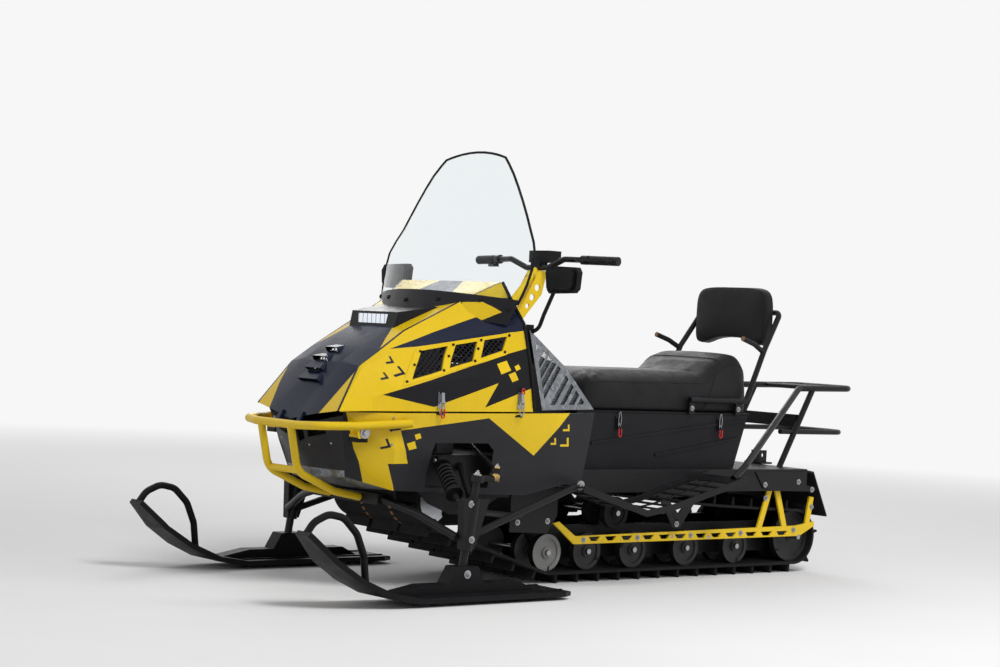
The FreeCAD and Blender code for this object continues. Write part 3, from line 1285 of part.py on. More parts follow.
# Handlebar with grips; the brake's lever is on the left, the thumb throttle on the right
HANDLE_R = 11.0
GRIP_IN = (-721.0, 268.0, 1170.0)
GRIP_OUT = (-743.0, 392.0, 1168.0)
bar_side = [(-702, 60, 1140), (-700, 150, 1172), (-742, 384, 1168)]
bar = tube([(x, -y, z) for x, y, z in bar_side[::-1]] + bar_side, HANDLE_R, 30.0)
clamp_in, clamp_out = lerp(GRIP_IN, GRIP_OUT, -0.3), lerp(GRIP_IN, GRIP_OUT, -0.06)
clamp = cyl(clamp_in, clamp_out, HANDLE_R + 6)
cx, cy, cz = lerp(clamp_in, clamp_out, 0.5)
boss = prism([(cx, cy - 13), (cx + 46, cy - 8), (cx + 50, cy + 14), (cx, cy + 13)], "xy", cz - 9, cz + 7)
lever = prism([(cx + 34, cy - 2), (cx + 50, cy + 2), (cx + 34, cy + 78), (cx + 22, cy + 152),
               (cx + 12, cy + 152), (cx + 22, cy + 76)], "xy", cz - 5, cz + 4)
thumb = prism([(cx, cy + 8), (cx + 12, cy + 14), (cx - 2, cy + 62), (cx - 14, cy + 58)], "xy",
              cz - 28, cz - 18)
stem = cyl((cx + 2, cy + 6, cz - 28), (cx + 2, cy + 6, cz), 8.0)
bar = biggest(fuse([bar, boss, lever] + both(clamp) + [mirror(thumb), mirror(stem)]).cut(column))
grips = [biggest(grip.cut(bar)) for grip in both(cyl(GRIP_IN, GRIP_OUT, 16.5))]
save("handlebar", bar, *grips)
gauge = fuse([box(-765, -708, -58, 58, 1160, 1204), box(-728, -690, -26, 26, 1140, 1162)])
save("instrument", biggest(gauge.cut(bar).cut(column)))
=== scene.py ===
import bpy
import bmesh
from math import cos, dist, pi, radians, sin, tan
from mathutils import Matrix, Vector
from mathutils.bvhtree import BVHTree


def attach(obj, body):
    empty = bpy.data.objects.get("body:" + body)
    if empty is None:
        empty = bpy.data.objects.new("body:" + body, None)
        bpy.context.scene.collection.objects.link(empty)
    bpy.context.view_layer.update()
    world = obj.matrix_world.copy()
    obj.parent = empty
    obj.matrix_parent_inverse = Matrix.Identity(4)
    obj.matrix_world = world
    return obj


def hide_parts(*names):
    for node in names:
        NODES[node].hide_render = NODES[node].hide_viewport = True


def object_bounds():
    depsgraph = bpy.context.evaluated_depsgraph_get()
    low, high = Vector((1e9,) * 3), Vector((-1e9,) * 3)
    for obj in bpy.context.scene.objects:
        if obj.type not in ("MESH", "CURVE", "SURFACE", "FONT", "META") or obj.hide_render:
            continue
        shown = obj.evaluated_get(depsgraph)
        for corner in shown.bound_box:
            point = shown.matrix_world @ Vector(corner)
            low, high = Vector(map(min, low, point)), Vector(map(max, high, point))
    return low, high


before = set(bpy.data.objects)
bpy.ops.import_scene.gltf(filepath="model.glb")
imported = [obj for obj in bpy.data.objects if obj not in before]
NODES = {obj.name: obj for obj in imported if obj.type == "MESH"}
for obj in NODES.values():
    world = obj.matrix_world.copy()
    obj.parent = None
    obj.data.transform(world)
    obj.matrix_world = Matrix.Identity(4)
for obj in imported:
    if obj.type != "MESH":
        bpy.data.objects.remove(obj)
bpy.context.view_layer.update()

# Places below are written in millimetres from the ski pivot: X forward, Y left, Z up from the ground.
PIVOT_X = 0.85             # of the ski pivot in the row frame, metres


def at(x, y, z):
    return Vector((x / 1000 + PIVOT_X, y / 1000, z / 1000))


def mm(p):
    """The same place back in millimetres from the ski pivot."""
    return ((p[0] - PIVOT_X) * 1000, p[1] * 1000, p[2] * 1000)


# Camera of the photograph
CAMERA_PLACE = (5.1530, 5.7553, 0.8886)
CAMERA_AZIMUTH = radians(49.93)            # from +X towards +Y
CAMERA_ROLL = radians(3.10)
FOCAL_MM = 74.1                            # on a 36 mm wide sensor


def link(obj):
    bpy.context.scene.collection.objects.link(obj)
    return obj


def given(thing, **values):
    """The same thing with these values."""
    for key, value in values.items():
        setattr(thing, key, value)
    return thing


def make_camera():
    data = given(bpy.data.cameras.new("camera"), lens=FOCAL_MM, sensor_width=36.0, clip_end=200.0)
    cam = link(bpy.data.objects.new("camera", data))
    back = Vector((cos(CAMERA_AZIMUTH), sin(CAMERA_AZIMUTH), 0))
    up = Vector((0, 0, 1))
    level = (-back).cross(up)
    right = cos(CAMERA_ROLL) * level + sin(CAMERA_ROLL) * up
    up = cos(CAMERA_ROLL) * up - sin(CAMERA_ROLL) * level
    turn = Matrix((right, up, back)).transposed().to_4x4()
    cam.matrix_world = Matrix.Translation(CAMERA_PLACE) @ turn
    bpy.context.scene.camera = cam


# Materials

MAT = {}


def fill(node, values):
    """Puts values on the sockets so named."""
    for key, value in values.items():
        node.inputs[key].default_value = value
    return node


def start(name, **values):
    """Tree and shader of a new material, which is kept under its name."""
    mat = bpy.data.materials.new(name)
    mat.use_nodes = True
    tree = mat.node_tree
    MAT[name] = mat
    return tree, fill(tree.nodes["Principled BSDF"], values)


def add(tree, kind, **values):
    return fill(tree.nodes.new(kind), values)


def wire(a, b):
    a.id_data.links.new(a, b)


def spread(tree, stretch):
    place = tree.nodes.new("ShaderNodeTexCoord")
    out = add(tree, "ShaderNodeMapping", Scale=stretch)
    wire(place.outputs["Object"], out.inputs["Vector"])
    return out.outputs["Vector"]


def across(tree):
    """Where the shaded point lies along Y."""
    place = tree.nodes.new("ShaderNodeTexCoord")
    split = tree.nodes.new("ShaderNodeSeparateXYZ")
    wire(place.outputs["Object"], split.inputs["Vector"])
    return split.outputs["Y"]


def noise(tree, scale, detail=3.0, stretch=(1, 1, 1)):
    out = add(tree, "ShaderNodeTexNoise", Scale=scale, Detail=detail)
    wire(spread(tree, stretch), out.inputs["Vector"])
    return out.outputs["Fac"]


def cells(tree, scale, feature="F1", stretch=(1, 1, 1)):
    out = add(tree, "ShaderNodeTexVoronoi", Scale=scale)
    out.feature = feature
    wire(spread(tree, stretch), out.inputs["Vector"])
    return out


def sums(tree, operation, a, b):
    """Result of a sum on an output and another output or a number."""
    out = given(tree.nodes.new("ShaderNodeMath"), operation=operation)
    for socket, value in zip(out.inputs, (a, b)):
        if isinstance(value, (int, float)):
            socket.default_value = value
        else:
            wire(value, socket)
    return out.outputs[0]


def ramp(tree, fac, low, high, a=0.0, b=1.0):
    out = add(tree, "ShaderNodeMapRange", **{"From Min": low, "From Max": high, "To Min": a, "To Max": b})
    wire(fac, out.inputs["Value"])
    return out.outputs["Result"]


def mixed(tree, fac, a, b):
    """Colour a where fac is 0 and b where it is 1; each a colour or another node's output."""
    out = tree.nodes.new("ShaderNodeMix")
    out.data_type = "RGBA"
    wire(fac, out.inputs["Factor"])
    for value, key in ((a, "A"), (b, "B")):
        socket = [s for s in out.inputs if s.name == key and s.type == "RGBA"][0]
        if isinstance(value, tuple):
            socket.default_value = (*value, 1.0)
        else:
            wire(value, socket)
    return [s for s in out.outputs if s.type == "RGBA"][0]


def bump(tree, bsdf, height, strength, distance=0.001):
    out = add(tree, "ShaderNodeBump", Strength=strength, Distance=distance)
    wire(height, out.inputs["Height"])
    if bsdf.inputs["Normal"].is_linked:
        wire(bsdf.inputs["Normal"].links[0].from_socket, out.inputs["Normal"])
    wire(out.outputs["Normal"], bsdf.inputs["Normal"])


def shaded(colour, k):
    return tuple(min(1.0, c * k) for c in colour)


def finish(name, colour, rough, mottle, grain, scuff, scuff_colour=None, specular=0.5, metallic=0.0,
           coat=0.0, gloss_range=0.06):
    """Painted, moulded or metal surface: mottled colour, uneven gloss, fine scuffs and a grained relief."""
    tree, bsdf = start(name, **{"Metallic": metallic, "Coat Weight": coat, "Coat Roughness": 0.08,
                                "Specular IOR Level": specular})
    cloud = noise(tree, 7.0, 4.0)
    base = mixed(tree, ramp(tree, cloud, 0.3, 0.7), shaded(colour, 1 - mottle), shaded(colour, 1 + mottle))
    marks = noise(tree, 55.0, 6.0, (1.0, 2.6, 7.0))
    marks = ramp(tree, marks, 0.66, 0.74, 0.0, scuff)
    base = mixed(tree, marks, base, scuff_colour or shaded(colour, 1.5))
    wire(base, bsdf.inputs["Base Color"])
    gloss = noise(tree, 22.0, 5.0)
    gloss = ramp(tree, gloss, 0.3, 0.7, rough - gloss_range, rough + gloss_range)
    wire(gloss, bsdf.inputs["Roughness"])
    bump(tree, bsdf, noise(tree, grain[0], 2.0), grain[1])
    return tree, bsdf


def zinc():
    """Galvanised sheet with its spangle."""
    tree, bsdf = start("zinc", Metallic=0.9)
    flakes = cells(tree, 70.0)
    tone = tree.nodes.new("ShaderNodeSeparateColor")
    wire(flakes.outputs["Color"], tone.inputs["Color"])
    base = mixed(tree, tone.outputs["Red"], (0.16, 0.17, 0.185), (0.30, 0.315, 0.335))
    wipe = ramp(tree, noise(tree, 26.0, 5.0, (1, 1, 0.3)), 0.45, 0.75)
    base = mixed(tree, wipe, base, (0.22, 0.23, 0.24))
    wire(base, bsdf.inputs["Base Color"])
    wire(ramp(tree, tone.outputs["Green"], 0, 1, 0.30, 0.50), bsdf.inputs["Roughness"])
    bump(tree, bsdf, noise(tree, 300.0, 3.0), 0.15)


def vinyl():
    """Black seat vinyl with a leather grain."""
    tree, bsdf = start("seat_vinyl", **{"Specular IOR Level": 0.18, "Sheen Weight": 0.01})
    creases = cells(tree, 620.0, "DISTANCE_TO_EDGE")
    tone = noise(tree, 9.0, 4.0)
    base = mixed(tree, ramp(tree, tone, 0.3, 0.7), (0.006, 0.006, 0.007), (0.011, 0.011, 0.012))
    dust = ramp(tree, noise(tree, 240.0, 4.0, (1, 1, 1.6)), 0.70, 0.78, 0.0, 0.25)
    base = mixed(tree, dust, base, (0.06, 0.06, 0.06))
    wire(base, bsdf.inputs["Base Color"])
    wire(ramp(tree, noise(tree, 30.0, 4.0), 0.3, 0.7, 0.36, 0.52), bsdf.inputs["Roughness"])
    bump(tree, bsdf, ramp(tree, creases.outputs["Distance"], 0.0, 0.12), 0.35, 0.0006)
    bump(tree, bsdf, noise(tree, 45.0, 4.0), 0.12, 0.002)


def clear_sheet():
    """Polycarbonate of the windshield, with a few hazy wipe marks."""
    tree, bsdf = start("clear", **{"Base Color": (0.90, 0.94, 0.955, 1), "IOR": 1.18,
                                   "Transmission Weight": 1.0})
    haze = noise(tree, 5.0, 5.0, (1, 1, 3))
    wire(ramp(tree, haze, 0.45, 0.8, 0.01, 0.10), bsdf.inputs["Roughness"])


SEGMENT_HALF = 0.0125      # half the pitch of the lamp's segments, metres
GRIP_HALF = 0.003          # half the pitch of the grips' rings


def lamp_glow():
    """Lamp's row of bright segments behind a clear lens."""
    tree, bsdf = start("lamp_lens", **{"Emission Strength": 0.7, "Roughness": 0.1})
    wave = sums(tree, "PINGPONG", across(tree), SEGMENT_HALF)
    glow = mixed(tree, ramp(tree, wave, 0.0005, 0.0035), (0.16, 0.18, 0.21), (0.66, 0.70, 0.76))
    wire(glow, bsdf.inputs["Base Color"])
    wire(glow, bsdf.inputs["Emission Color"])


def ribbed_rubber():
    """Grip rubber with rings round the handlebar."""
    tree, bsdf = finish("grip", (0.011, 0.011, 0.011), 0.6, 0.15, (900, 0.3), 0.3, (0.045, 0.045, 0.045),
                        0.3)
    rings = ramp(tree, sums(tree, "PINGPONG", across(tree), GRIP_HALF), 0.0007, 0.0022)
    bump(tree, bsdf, rings, 0.9, 0.0015)


YELLOW = (0.74, 0.50, 0.008)
NAVY = (0.006, 0.010, 0.028)
GRAPHITE = (0.021, 0.021, 0.024)
BLACK = (0.005, 0.005, 0.006)

# Name, colour, roughness, mottle, grain's scale and strength, scuffs' strength and colour, specular
finish("hood_yellow", YELLOW, 0.28, 0.03, (260, 0.03), 0.10, (0.78, 0.60, 0.10), 0.25, coat=0.12)
finish("hood_navy", NAVY, 0.30, 0.12, (260, 0.03), 0.10, (0.03, 0.034, 0.048), 0.2, coat=0.08)
finish("hood_black", (0.007, 0.007, 0.009), 0.34, 0.12, (260, 0.03), 0.10, (0.03, 0.03, 0.034), 0.18,
       coat=0.05)
finish("graphite", GRAPHITE, 0.40, 0.08, (1100, 0.25), 0.20, (0.065, 0.065, 0.07), 0.2)
finish("frame_yellow", YELLOW, 0.36, 0.05, (700, 0.12), 0.30, (0.58, 0.44, 0.09), 0.3, coat=0.08)
finish("black_plastic", BLACK, 0.50, 0.12, (1300, 0.35), 0.22, (0.04, 0.04, 0.042), 0.16)
finish("dark_box", (0.009, 0.009, 0.0105), 0.44, 0.10, (1000, 0.25), 0.25, (0.04, 0.04, 0.042), 0.15)
finish("black_metal", (0.008, 0.008, 0.009), 0.36, 0.12, (900, 0.25), 0.35, (0.06, 0.057, 0.054), 0.2)
finish("steel", (0.36, 0.37, 0.39), 0.32, 0.06, (800, 0.15), 0.4, (0.36, 0.34, 0.31), metallic=1.0)
finish("washer", (0.40, 0.40, 0.41), 0.38, 0.05, (600, 0.1), 0.2, (0.45, 0.43, 0.40), metallic=0.8)
finish("brass", (0.62, 0.40, 0.14), 0.32, 0.10, (700, 0.15), 0.4, (0.40, 0.26, 0.12), metallic=1.0)
finish("copper", (0.36, 0.19, 0.09), 0.45, 0.2, (500, 0.2), 0.5, (0.20, 0.12, 0.07), metallic=0.7)
finish("mirror", (0.80, 0.82, 0.84), 0.05, 0.01, (50, 0.01), 0.05, metallic=1.0, gloss_range=0.02)
finish("rubber", (0.012, 0.012, 0.012), 0.70, 0.2, (500, 0.4), 0.5, (0.035, 0.033, 0.032), 0.14)
finish("disc", (0.030, 0.030, 0.030), 0.50, 0.15, (400, 0.3), 0.6, (0.09, 0.088, 0.084), 0.2)
finish("pale_disc", (0.22, 0.217, 0.21), 0.48, 0.12, (300, 0.3), 0.6, (0.20, 0.195, 0.185))
finish("iron", (0.13, 0.13, 0.135), 0.55, 0.15, (300, 0.5), 0.4, (0.2, 0.19, 0.18), metallic=0.7)
finish("amber", (0.20, 0.09, 0.02), 0.45, 0.12, (500, 0.2), 0.4, (0.22, 0.11, 0.03))
finish("red_lens", (0.30, 0.008, 0.008), 0.15, 0.08, (120, 0.3), 0.05, coat=0.8)
finish("red_plastic", (0.50, 0.012, 0.016), 0.32, 0.08, (600, 0.1), 0.1)
zinc()
vinyl()
clear_sheet()
lamp_glow()
ribbed_rubber()

# Material, width of the bevel on the edges in millimetres, and the nodes that have them
DRESS = [
    ("steel", 0.0, "hood_latches"), ("steel", 0.8, "axles pitman_arm"),
    ("black_metal", 0.0, "backrest_frame control_arms handlebar rear_rack shocks"),
    ("black_metal", 0.6, "tunnel"),
    ("black_metal", 0.8, "running_boards slide_frame spindle_left spindle_right tie_rod_left "
                         "tie_rod_right tunnel_plates"),
    ("black_metal", 1.0, "front_frame spindle_housings tow_hitch"), ("seat_vinyl", 8.0, "backrest_pad"),
    ("seat_vinyl", 12.0, "seat_cushion"), ("zinc", 0.6, "deflectors"), ("zinc", 1.0, "belly_plate"),
    ("black_plastic", 1.0, "ski_left ski_right"), ("black_plastic", 1.2, "wheels"),
    ("black_plastic", 1.5, "dash_panel"), ("black_plastic", 2.0, "instrument seat_lid"),
    ("black_plastic", 3.0, "mirrors"), ("black_plastic", 6.0, "console"), ("iron", 6.0, "engine_block"),
    ("frame_yellow", 0.0, "front_bumper"), ("frame_yellow", 0.6, "steering_column"),
    ("frame_yellow", 0.8, "side_rails"), ("lamp_lens", 0.5, "headlamp"),
    ("hood_navy", 1.5, "hood_centre"), ("hood_yellow", 1.5, "hood_sides"),
    ("hood_black", 1.0, "hood_trim"), ("graphite", 1.2, "nose_panel"), ("graphite", 1.5, "lower_body"),
    ("dark_box", 1.5, "seat_box"), ("rubber", 1.0, "snow_flap"), ("rubber", 1.5, "track"),
    ("red_lens", 1.5, "tail_lamp"), ("clear", 0.0, "windshield"),
]
CREASE = radians(28)
SEAM = 0.00002             # points closer than this are one, metres


def crease_tree():
    """Geometry nodes that shade faces smooth and keep edges sharp that turn by more than the crease."""
    tree = bpy.data.node_groups.new("creases", "GeometryNodeTree")
    for way in ("INPUT", "OUTPUT"):
        tree.interface.new_socket("Geometry", in_out=way, socket_type="NodeSocketGeometry")
    source, result, angle, small, faces, edges = (tree.nodes.new(kind) for kind in (
        "NodeGroupInput", "NodeGroupOutput", "GeometryNodeInputMeshEdgeAngle", "FunctionNodeCompare",
        "GeometryNodeSetShadeSmooth", "GeometryNodeSetShadeSmooth"))
    small.operation = "LESS_THAN"
    small.inputs[1].default_value = CREASE
    wire(angle.outputs["Unsigned Angle"], small.inputs[0])
    faces.domain = "FACE"
    edges.domain = "EDGE"
    wire(source.outputs[0], faces.inputs["Geometry"])
    wire(faces.outputs[0], edges.inputs["Geometry"])
    wire(small.outputs[0], edges.inputs["Shade Smooth"])
    wire(edges.outputs[0], result.inputs[0])
    return tree


CREASES = crease_tree()


def soften(obj, width):
    """Joins the mesh at its seams, rounds its edges and shades it smooth between its creases."""
    given(obj.modifiers.new("weld", "WELD"), merge_threshold=SEAM)
    if width > 0:
        given(obj.modifiers.new("bevel", "BEVEL"), width=width / 1000, segments=2, limit_method="ANGLE",
              angle_limit=CREASE)
    given(obj.modifiers.new("crease", "NODES"), node_group=CREASES)
    given(obj.modifiers.new("normals", "WEIGHTED_NORMAL"), keep_sharp=True)


def dress():
    for material, width, nodes in DRESS:
        for node in nodes.split():
            obj = NODES[node]
            obj.data.materials.clear()
            obj.data.materials.append(MAT[material])
            soften(obj, width)


# Pieces made of turned, swept and flat shapes

def turned(bm, place, way, profile, sides):
    """Turns a profile of (radius, height), millimetres, round a direction."""
    way = Vector(way).normalized()
    u = way.orthogonal().normalized()
    v = way.cross(u)
    rings = []
    for r, h in profile:
        centre = place + way * (h / 1000)
        if r == 0:
            rings.append([bm.verts.new(centre)])
            continue
        ring = []
        for k in range(sides):
            a = 2 * pi * k / sides
            ring.append(bm.verts.new(centre + (u * cos(a) + v * sin(a)) * (r / 1000)))
        rings.append(ring)
    for low, high in zip(rings, rings[1:]):
        for k in range(sides):
            corners = []
            for ring, j in ((low, k), (low, k + 1), (high, k + 1), (high, k)):
                vert = ring[j % len(ring)]
                if vert not in corners:
                    corners.append(vert)
            bm.faces.new(corners)


def swept(bm, points, radius, sides=8, closed=False, side_way=None):
    """Tube along points in metres."""
    count = len(points)
    rings = []
    u = side_way.normalized() if side_way is not None else None
    for k, p in enumerate(points):
        before = points[k - 1] if closed or k else p
        after = points[(k + 1) % count] if closed or k < count - 1 else p
        way = (after - before).normalized()
        if u is None:
            u = way.orthogonal()
        u = (u - way * u.dot(way)).normalized()
        v = way.cross(u)
        ring = []
        for j in range(sides):
            a = 2 * pi * j / sides
            ring.append(bm.verts.new(p + (u * cos(a) + v * sin(a)) * (radius / 1000)))
        rings.append(ring)
    spans = list(zip(rings, rings[1:]))
    if closed:
        spans.append((rings[-1], rings[0]))
    for low, high in spans:
        for j in range(sides):
            bm.faces.new((low[j], low[(j + 1) % sides], high[(j + 1) % sides], high[j]))
    if not closed:
        bm.faces.new(rings[0][::-1])
        bm.faces.new(rings[-1])


def loft(bm, rings):
    """Closed shape through rings of points, all of the same count."""
    rings = [[bm.verts.new(p) for p in ring] for ring in rings]
    for low, high in zip(rings, rings[1:]):
        for k in range(len(low)):
            j = (k + 1) % len(low)
            bm.faces.new((low[k], low[j], high[j], high[k]))
    bm.faces.new(rings[0])
    bm.faces.new(rings[-1][::-1])


def make(name, bm, materials, body, node=None, width=0.0):
    """Object of its own from a bmesh, riding on a body, in the place of a node if one is named."""
    bmesh.ops.recalc_face_normals(bm, faces=bm.faces)
    mesh = bpy.data.meshes.new(name)
    bm.to_mesh(mesh)
    bm.free()
    for material in materials:
        mesh.materials.append(MAT[material])
    obj = link(bpy.data.objects.new(name, mesh))
    soften(obj, width)
    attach(obj, body)
    if node:
        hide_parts(node)


def skin_of(mesh):
    return BVHTree.FromPolygons([v.co for v in mesh.vertices], [p.vertices for p in mesh.polygons])


TREES = {}


def touch(node, origin, way):
    """Where a line meets a node's skin first, and the skin's direction out of it there."""
    if node not in TREES:
        TREES[node] = skin_of(NODES[node].data)
    place, normal, _, _ = TREES[node].ray_cast(origin, Vector(way).normalized())
    if place is None:
        raise ValueError(f"nothing of {node} there: {mm(origin)}")
    if normal.dot(way) > 0:
        normal = -normal
    return place, normal


OUTSIDE = 900              # farther out than any part


def from_side(node, x, z, side=1):
    return touch(node, at(x, OUTSIDE * side, z), Vector((0, -side, 0)))


def on_both_sides(node, places):
    """Places on a node's skin, on the left and then on the right, with the skin's direction."""
    return [from_side(node, x, z, side) for side in (1, -1) for x, z in places]


# Profiles of fasteners, (radius, height) as shares of the head's radius
BUTTON = [(0, -0.3), (1.0, -0.3), (1.0, 0.15), (0.86, 0.5), (0.6, 0.68), (0.42, 0.7), (0.42, 0.35),
          (0, 0.35)]
RIVET = [(0, -0.3), (1.0, -0.3), (1.0, 0.1), (0.8, 0.4), (0.45, 0.55), (0, 0.6)]
WASHER = [(0, -0.3), (1.0, -0.3), (1.0, 0.14), (0.95, 0.18), (0, 0.18)]
HEX = [(0, 0.0), (0.6, 0.0), (0.6, 0.48), (0.52, 0.58), (0, 0.58)]
SHANK = [(0, 0.5), (0.3, 0.5), (0.3, 0.95), (0.24, 1.0), (0, 1.0)]


def scaled(profile, r):
    return [(a * r, h * r) for a, h in profile]


def bolt(bm, place, way, r):
    """Washer, hexagon nut and the bolt's end."""
    for profile, sides in ((WASHER, 20), (HEX, 6), (SHANK, 10)):
        turned(bm, place, way, scaled(profile, r), sides)


# Painted areas

def inside(p, outline):
    """True if the point lies in the outline, both in the outline's two coordinates."""
    hit = False
    for (x0, z0), (x1, z1) in zip(outline, outline[1:] + outline[:1]):
        if (z0 > p[1]) != (z1 > p[1]) and p[0] < (x1 - x0) * (p[1] - z0) / (z1 - z0) + x0:
            hit = not hit
    return hit


MARGIN = 0.001             # round an outline's edge, metres: only faces in it are cut


def painted(node, body, base, areas=(), axes=(0, 2), width=1.5, zones=()):
    """Copy of a node's skin, cut along the outlines of its painted areas, each with its own material.

    Outlines are in two of the three directions, axes, and go straight through along the third. A zone is a
    material and a test of a face's middle, in millimetres, and its normal."""

    def spot(a, b):
        p = Vector((0, 0, 0))
        p[axes[0]], p[axes[1]] = a, b
        return p

    bm = bmesh.new()
    bm.from_mesh(NODES[node].data)
    bmesh.ops.remove_doubles(bm, verts=bm.verts, dist=SEAM)
    bmesh.ops.dissolve_limit(bm, angle_limit=radians(0.5), verts=bm.verts, edges=bm.edges)
    used = [base]
    for face in bm.faces:
        face.material_index = 0
    for material, outline in areas:
        flat = [((x / 1000 + PIVOT_X) if axes[0] == 0 else x / 1000, z / 1000) for x, z in outline]
        for (x0, z0), (x1, z1) in zip(flat, flat[1:] + flat[:1]):
            lo = (min(x0, x1) - MARGIN, min(z0, z1) - MARGIN)
            hi = (max(x0, x1) + MARGIN, max(z0, z1) + MARGIN)
            around = {}
            for face in bm.faces:
                us = [v.co[axes[0]] for v in face.verts]
                ws = [v.co[axes[1]] for v in face.verts]
                if max(us) > lo[0] and min(us) < hi[0] and max(ws) > lo[1] and min(ws) < hi[1]:
                    around.update(dict.fromkeys([face, *face.edges, *face.verts]))
            if around:
                bmesh.ops.bisect_plane(bm, geom=list(around), dist=1e-6, plane_co=spot(x0, z0),
                                       plane_no=spot(z1 - z0, x0 - x1).normalized())
        if material not in used:
            used.append(material)
        for face in bm.faces:
            centre = face.calc_center_median()
            if inside((centre[axes[0]], centre[axes[1]]), flat):
                face.material_index = used.index(material)
    for material, test in zones:
        if material not in used:
            used.append(material)
        for face in bm.faces:
            if test(mm(face.calc_center_median()), face.normal):
                face.material_index = used.index(material)
    make(f"{node}_painted", bm, used, body, node, width)


def both_ways(outline):
    """An outline seen from above, and the same on the other side."""
    return outline, [(x, -y) for x, y in outline]


def corner_mark(arm_end, corner, foot_end, thick):
    """Outline of an L with its inner side towards the two ends."""
    (ax, az), (cx, cz), (fx, fz) = arm_end, corner, foot_end
    la, lf = dist(arm_end, corner), dist(foot_end, corner)
    ua = ((ax - cx) / la, (az - cz) / la)
    uf = ((fx - cx) / lf, (fz - cz) / lf)

    def p(a, f):
        return (cx + ua[0] * a + uf[0] * f, cz + ua[1] * a + uf[1] * f)

    return [p(0, 0), p(la, 0), p(la, thick), p(thick, thick), p(thick, lf), p(0, lf)]


VENT_FRAME = [(52, 820), (-284, 896), (-261, 817), (121, 695)]

HOOD_SIDE_AREAS = [
    ("hood_navy", [(123, 817), (44, 829), (-420, 922), (-420, 1090), (-312, 1090), (-299, 1015),
                   (-206, 995), (-212, 990), (-245, 964)]),
    ("hood_black", [(188, 664), (8, 630), (-224, 719), (-180, 634), (-420, 731), (-420, 872), (-330, 841)]),
    ("hood_yellow", [(-221, 784), (-260, 797), (-272, 764), (-233, 749)]),
    ("hood_yellow", [(-287, 778), (-304, 786), (-310, 772), (-293, 762)]),
    ("hood_yellow", [(-262, 750), (-288, 760), (-303, 733), (-279, 724)]),
    ("hood_navy", corner_mark((133, 793), (126, 771), (152, 766), 7)),
    ("hood_navy", corner_mark((114, 762), (100, 736), (137, 724), 8)),
    ("hood_navy", corner_mark((166, 739), (156, 719), (182, 712), 7)),
    ("hood_yellow", VENT_FRAME),
]

LOWER_AREAS = [
    ("hood_yellow", [(312, 640), (-550, 640), (-536, 626), (-399, 472), (-201, 598), (123, 547), (84, 437),
                     (156, 435), (135, 351), (127, 320), (187, 320), (211, 382), (296, 598)]),
    ("hood_yellow", [(70, 534), (50, 540), (43, 524), (63, 517)]),
    ("hood_yellow", [(97, 504), (68, 513), (59, 489), (87, 482)]),
    ("hood_navy", corner_mark((165, 520), (152, 491), (178, 482), 8)),
    ("hood_navy", corner_mark((124, 556), (162, 550), (158, 542), 7)),
    ("hood_yellow", corner_mark((-534, 583), (-536, 560), (-507, 560), 7)),
    ("hood_yellow", corner_mark((-482, 535), (-487, 511), (-464, 511), 7)),
    ("hood_yellow", corner_mark((-536, 537), (-542, 506), (-506, 505), 8)),
]

RIDGE = [(345, 244), (235.5, 199), (150, 199), (45, 189), (-165, 224), (-310, 294)]
RIDGE_OUT, RIDGE_IN = 5.0, 10.0    # reach of the dark line from the ridge
CENTRE_YELLOW = [[(380, 134), (380, 260), (232, 205)],
                 [(152, 205), (150, 192), (46, 121), (-120, 130), (-172, 134), (-172, 240), (46, 205)],
                 [(-180, 128), (-276, 78), (-320, 60), (-320, 310), (-180, 240)]]


def hood_centre_areas():
    """Seen from above: X forward, Y left. The same on both sides."""
    areas = [("hood_yellow", outline) for left in CENTRE_YELLOW for outline in both_ways(left)]
    for (x0, y0), (x1, y1) in zip(RIDGE, RIDGE[1:]):
        line = [(x0, y0 + RIDGE_OUT), (x1, y1 + RIDGE_OUT), (x1, y1 - RIDGE_IN), (x0, y0 - RIDGE_IN)]
        areas += [("hood_navy", outline) for outline in both_ways(line)]
    return areas


TYRE = 15.0                # thickness of the rubber round a wheel
WHEELS = [(-627.0, 110.0, 67.5), (-823.0, 110.0, 67.5), (-1055.0, 110.0, 67.5), (-1334.0, 110.0, 67.5),
          (-1607.0, 110.0, 67.5), (-1925.0, 142.5, 100.0)]


def on_wheels(wheels):
    """Test that a place lies inside the tyre of one of the wheels, seen from the side."""
    return lambda p, _: any(dist((p[0], p[2]), (x, z)) < r - TYRE for x, z, r in wheels)


BRACKET = (252, 270, 536)  # bolt and washer that hold the bumper's end
BLOCK_TOP = 520.0          # top of the rubber block there
DRIVE_AXIS = (-115.0, 312.0)
DRIVE_SHAFT_R = 17.0
SPROCKETS_R = 110.0
SPROCKETS_HALF_W = 166.0
MIRROR = [(410, 1052), (536, 1054), (545, 1108), (402, 1114)]    # glass, across and up
GRIPS_FROM = 267           # off the middle plane
BAR_END = (-732, 1169)     # middle of the handlebar's ends, along and up
BAR_NEAR = 24


def on_sprocket(p, _):
    away = dist((p[0], p[2]), DRIVE_AXIS)
    return DRIVE_SHAFT_R < away < SPROCKETS_R and abs(p[1]) < SPROCKETS_HALF_W


def on_back(p, n):
    """True on the side of a sheet that faces the machine's middle."""
    return n.y * p[1] < 0 and abs(n.y) > 0.2


def on_glass(p, n):
    return n.x < -0.9 and p[0] < -420 and 402 < abs(p[1]) < 545 and 1053 < p[2] < 1112


def on_grip(p, _):
    return abs(p[1]) > GRIPS_FROM and dist((p[0], p[2]), BAR_END) < BAR_NEAR


def on_bracket(p, _):
    return dist((p[0], abs(p[1]), p[2]), BRACKET) < 24 and abs(p[1]) > 273.4


def on_block(p, _):
    return abs(p[0] - 255) < 24 and 215 < abs(p[1]) < 269.5 and p[2] < BLOCK_TOP


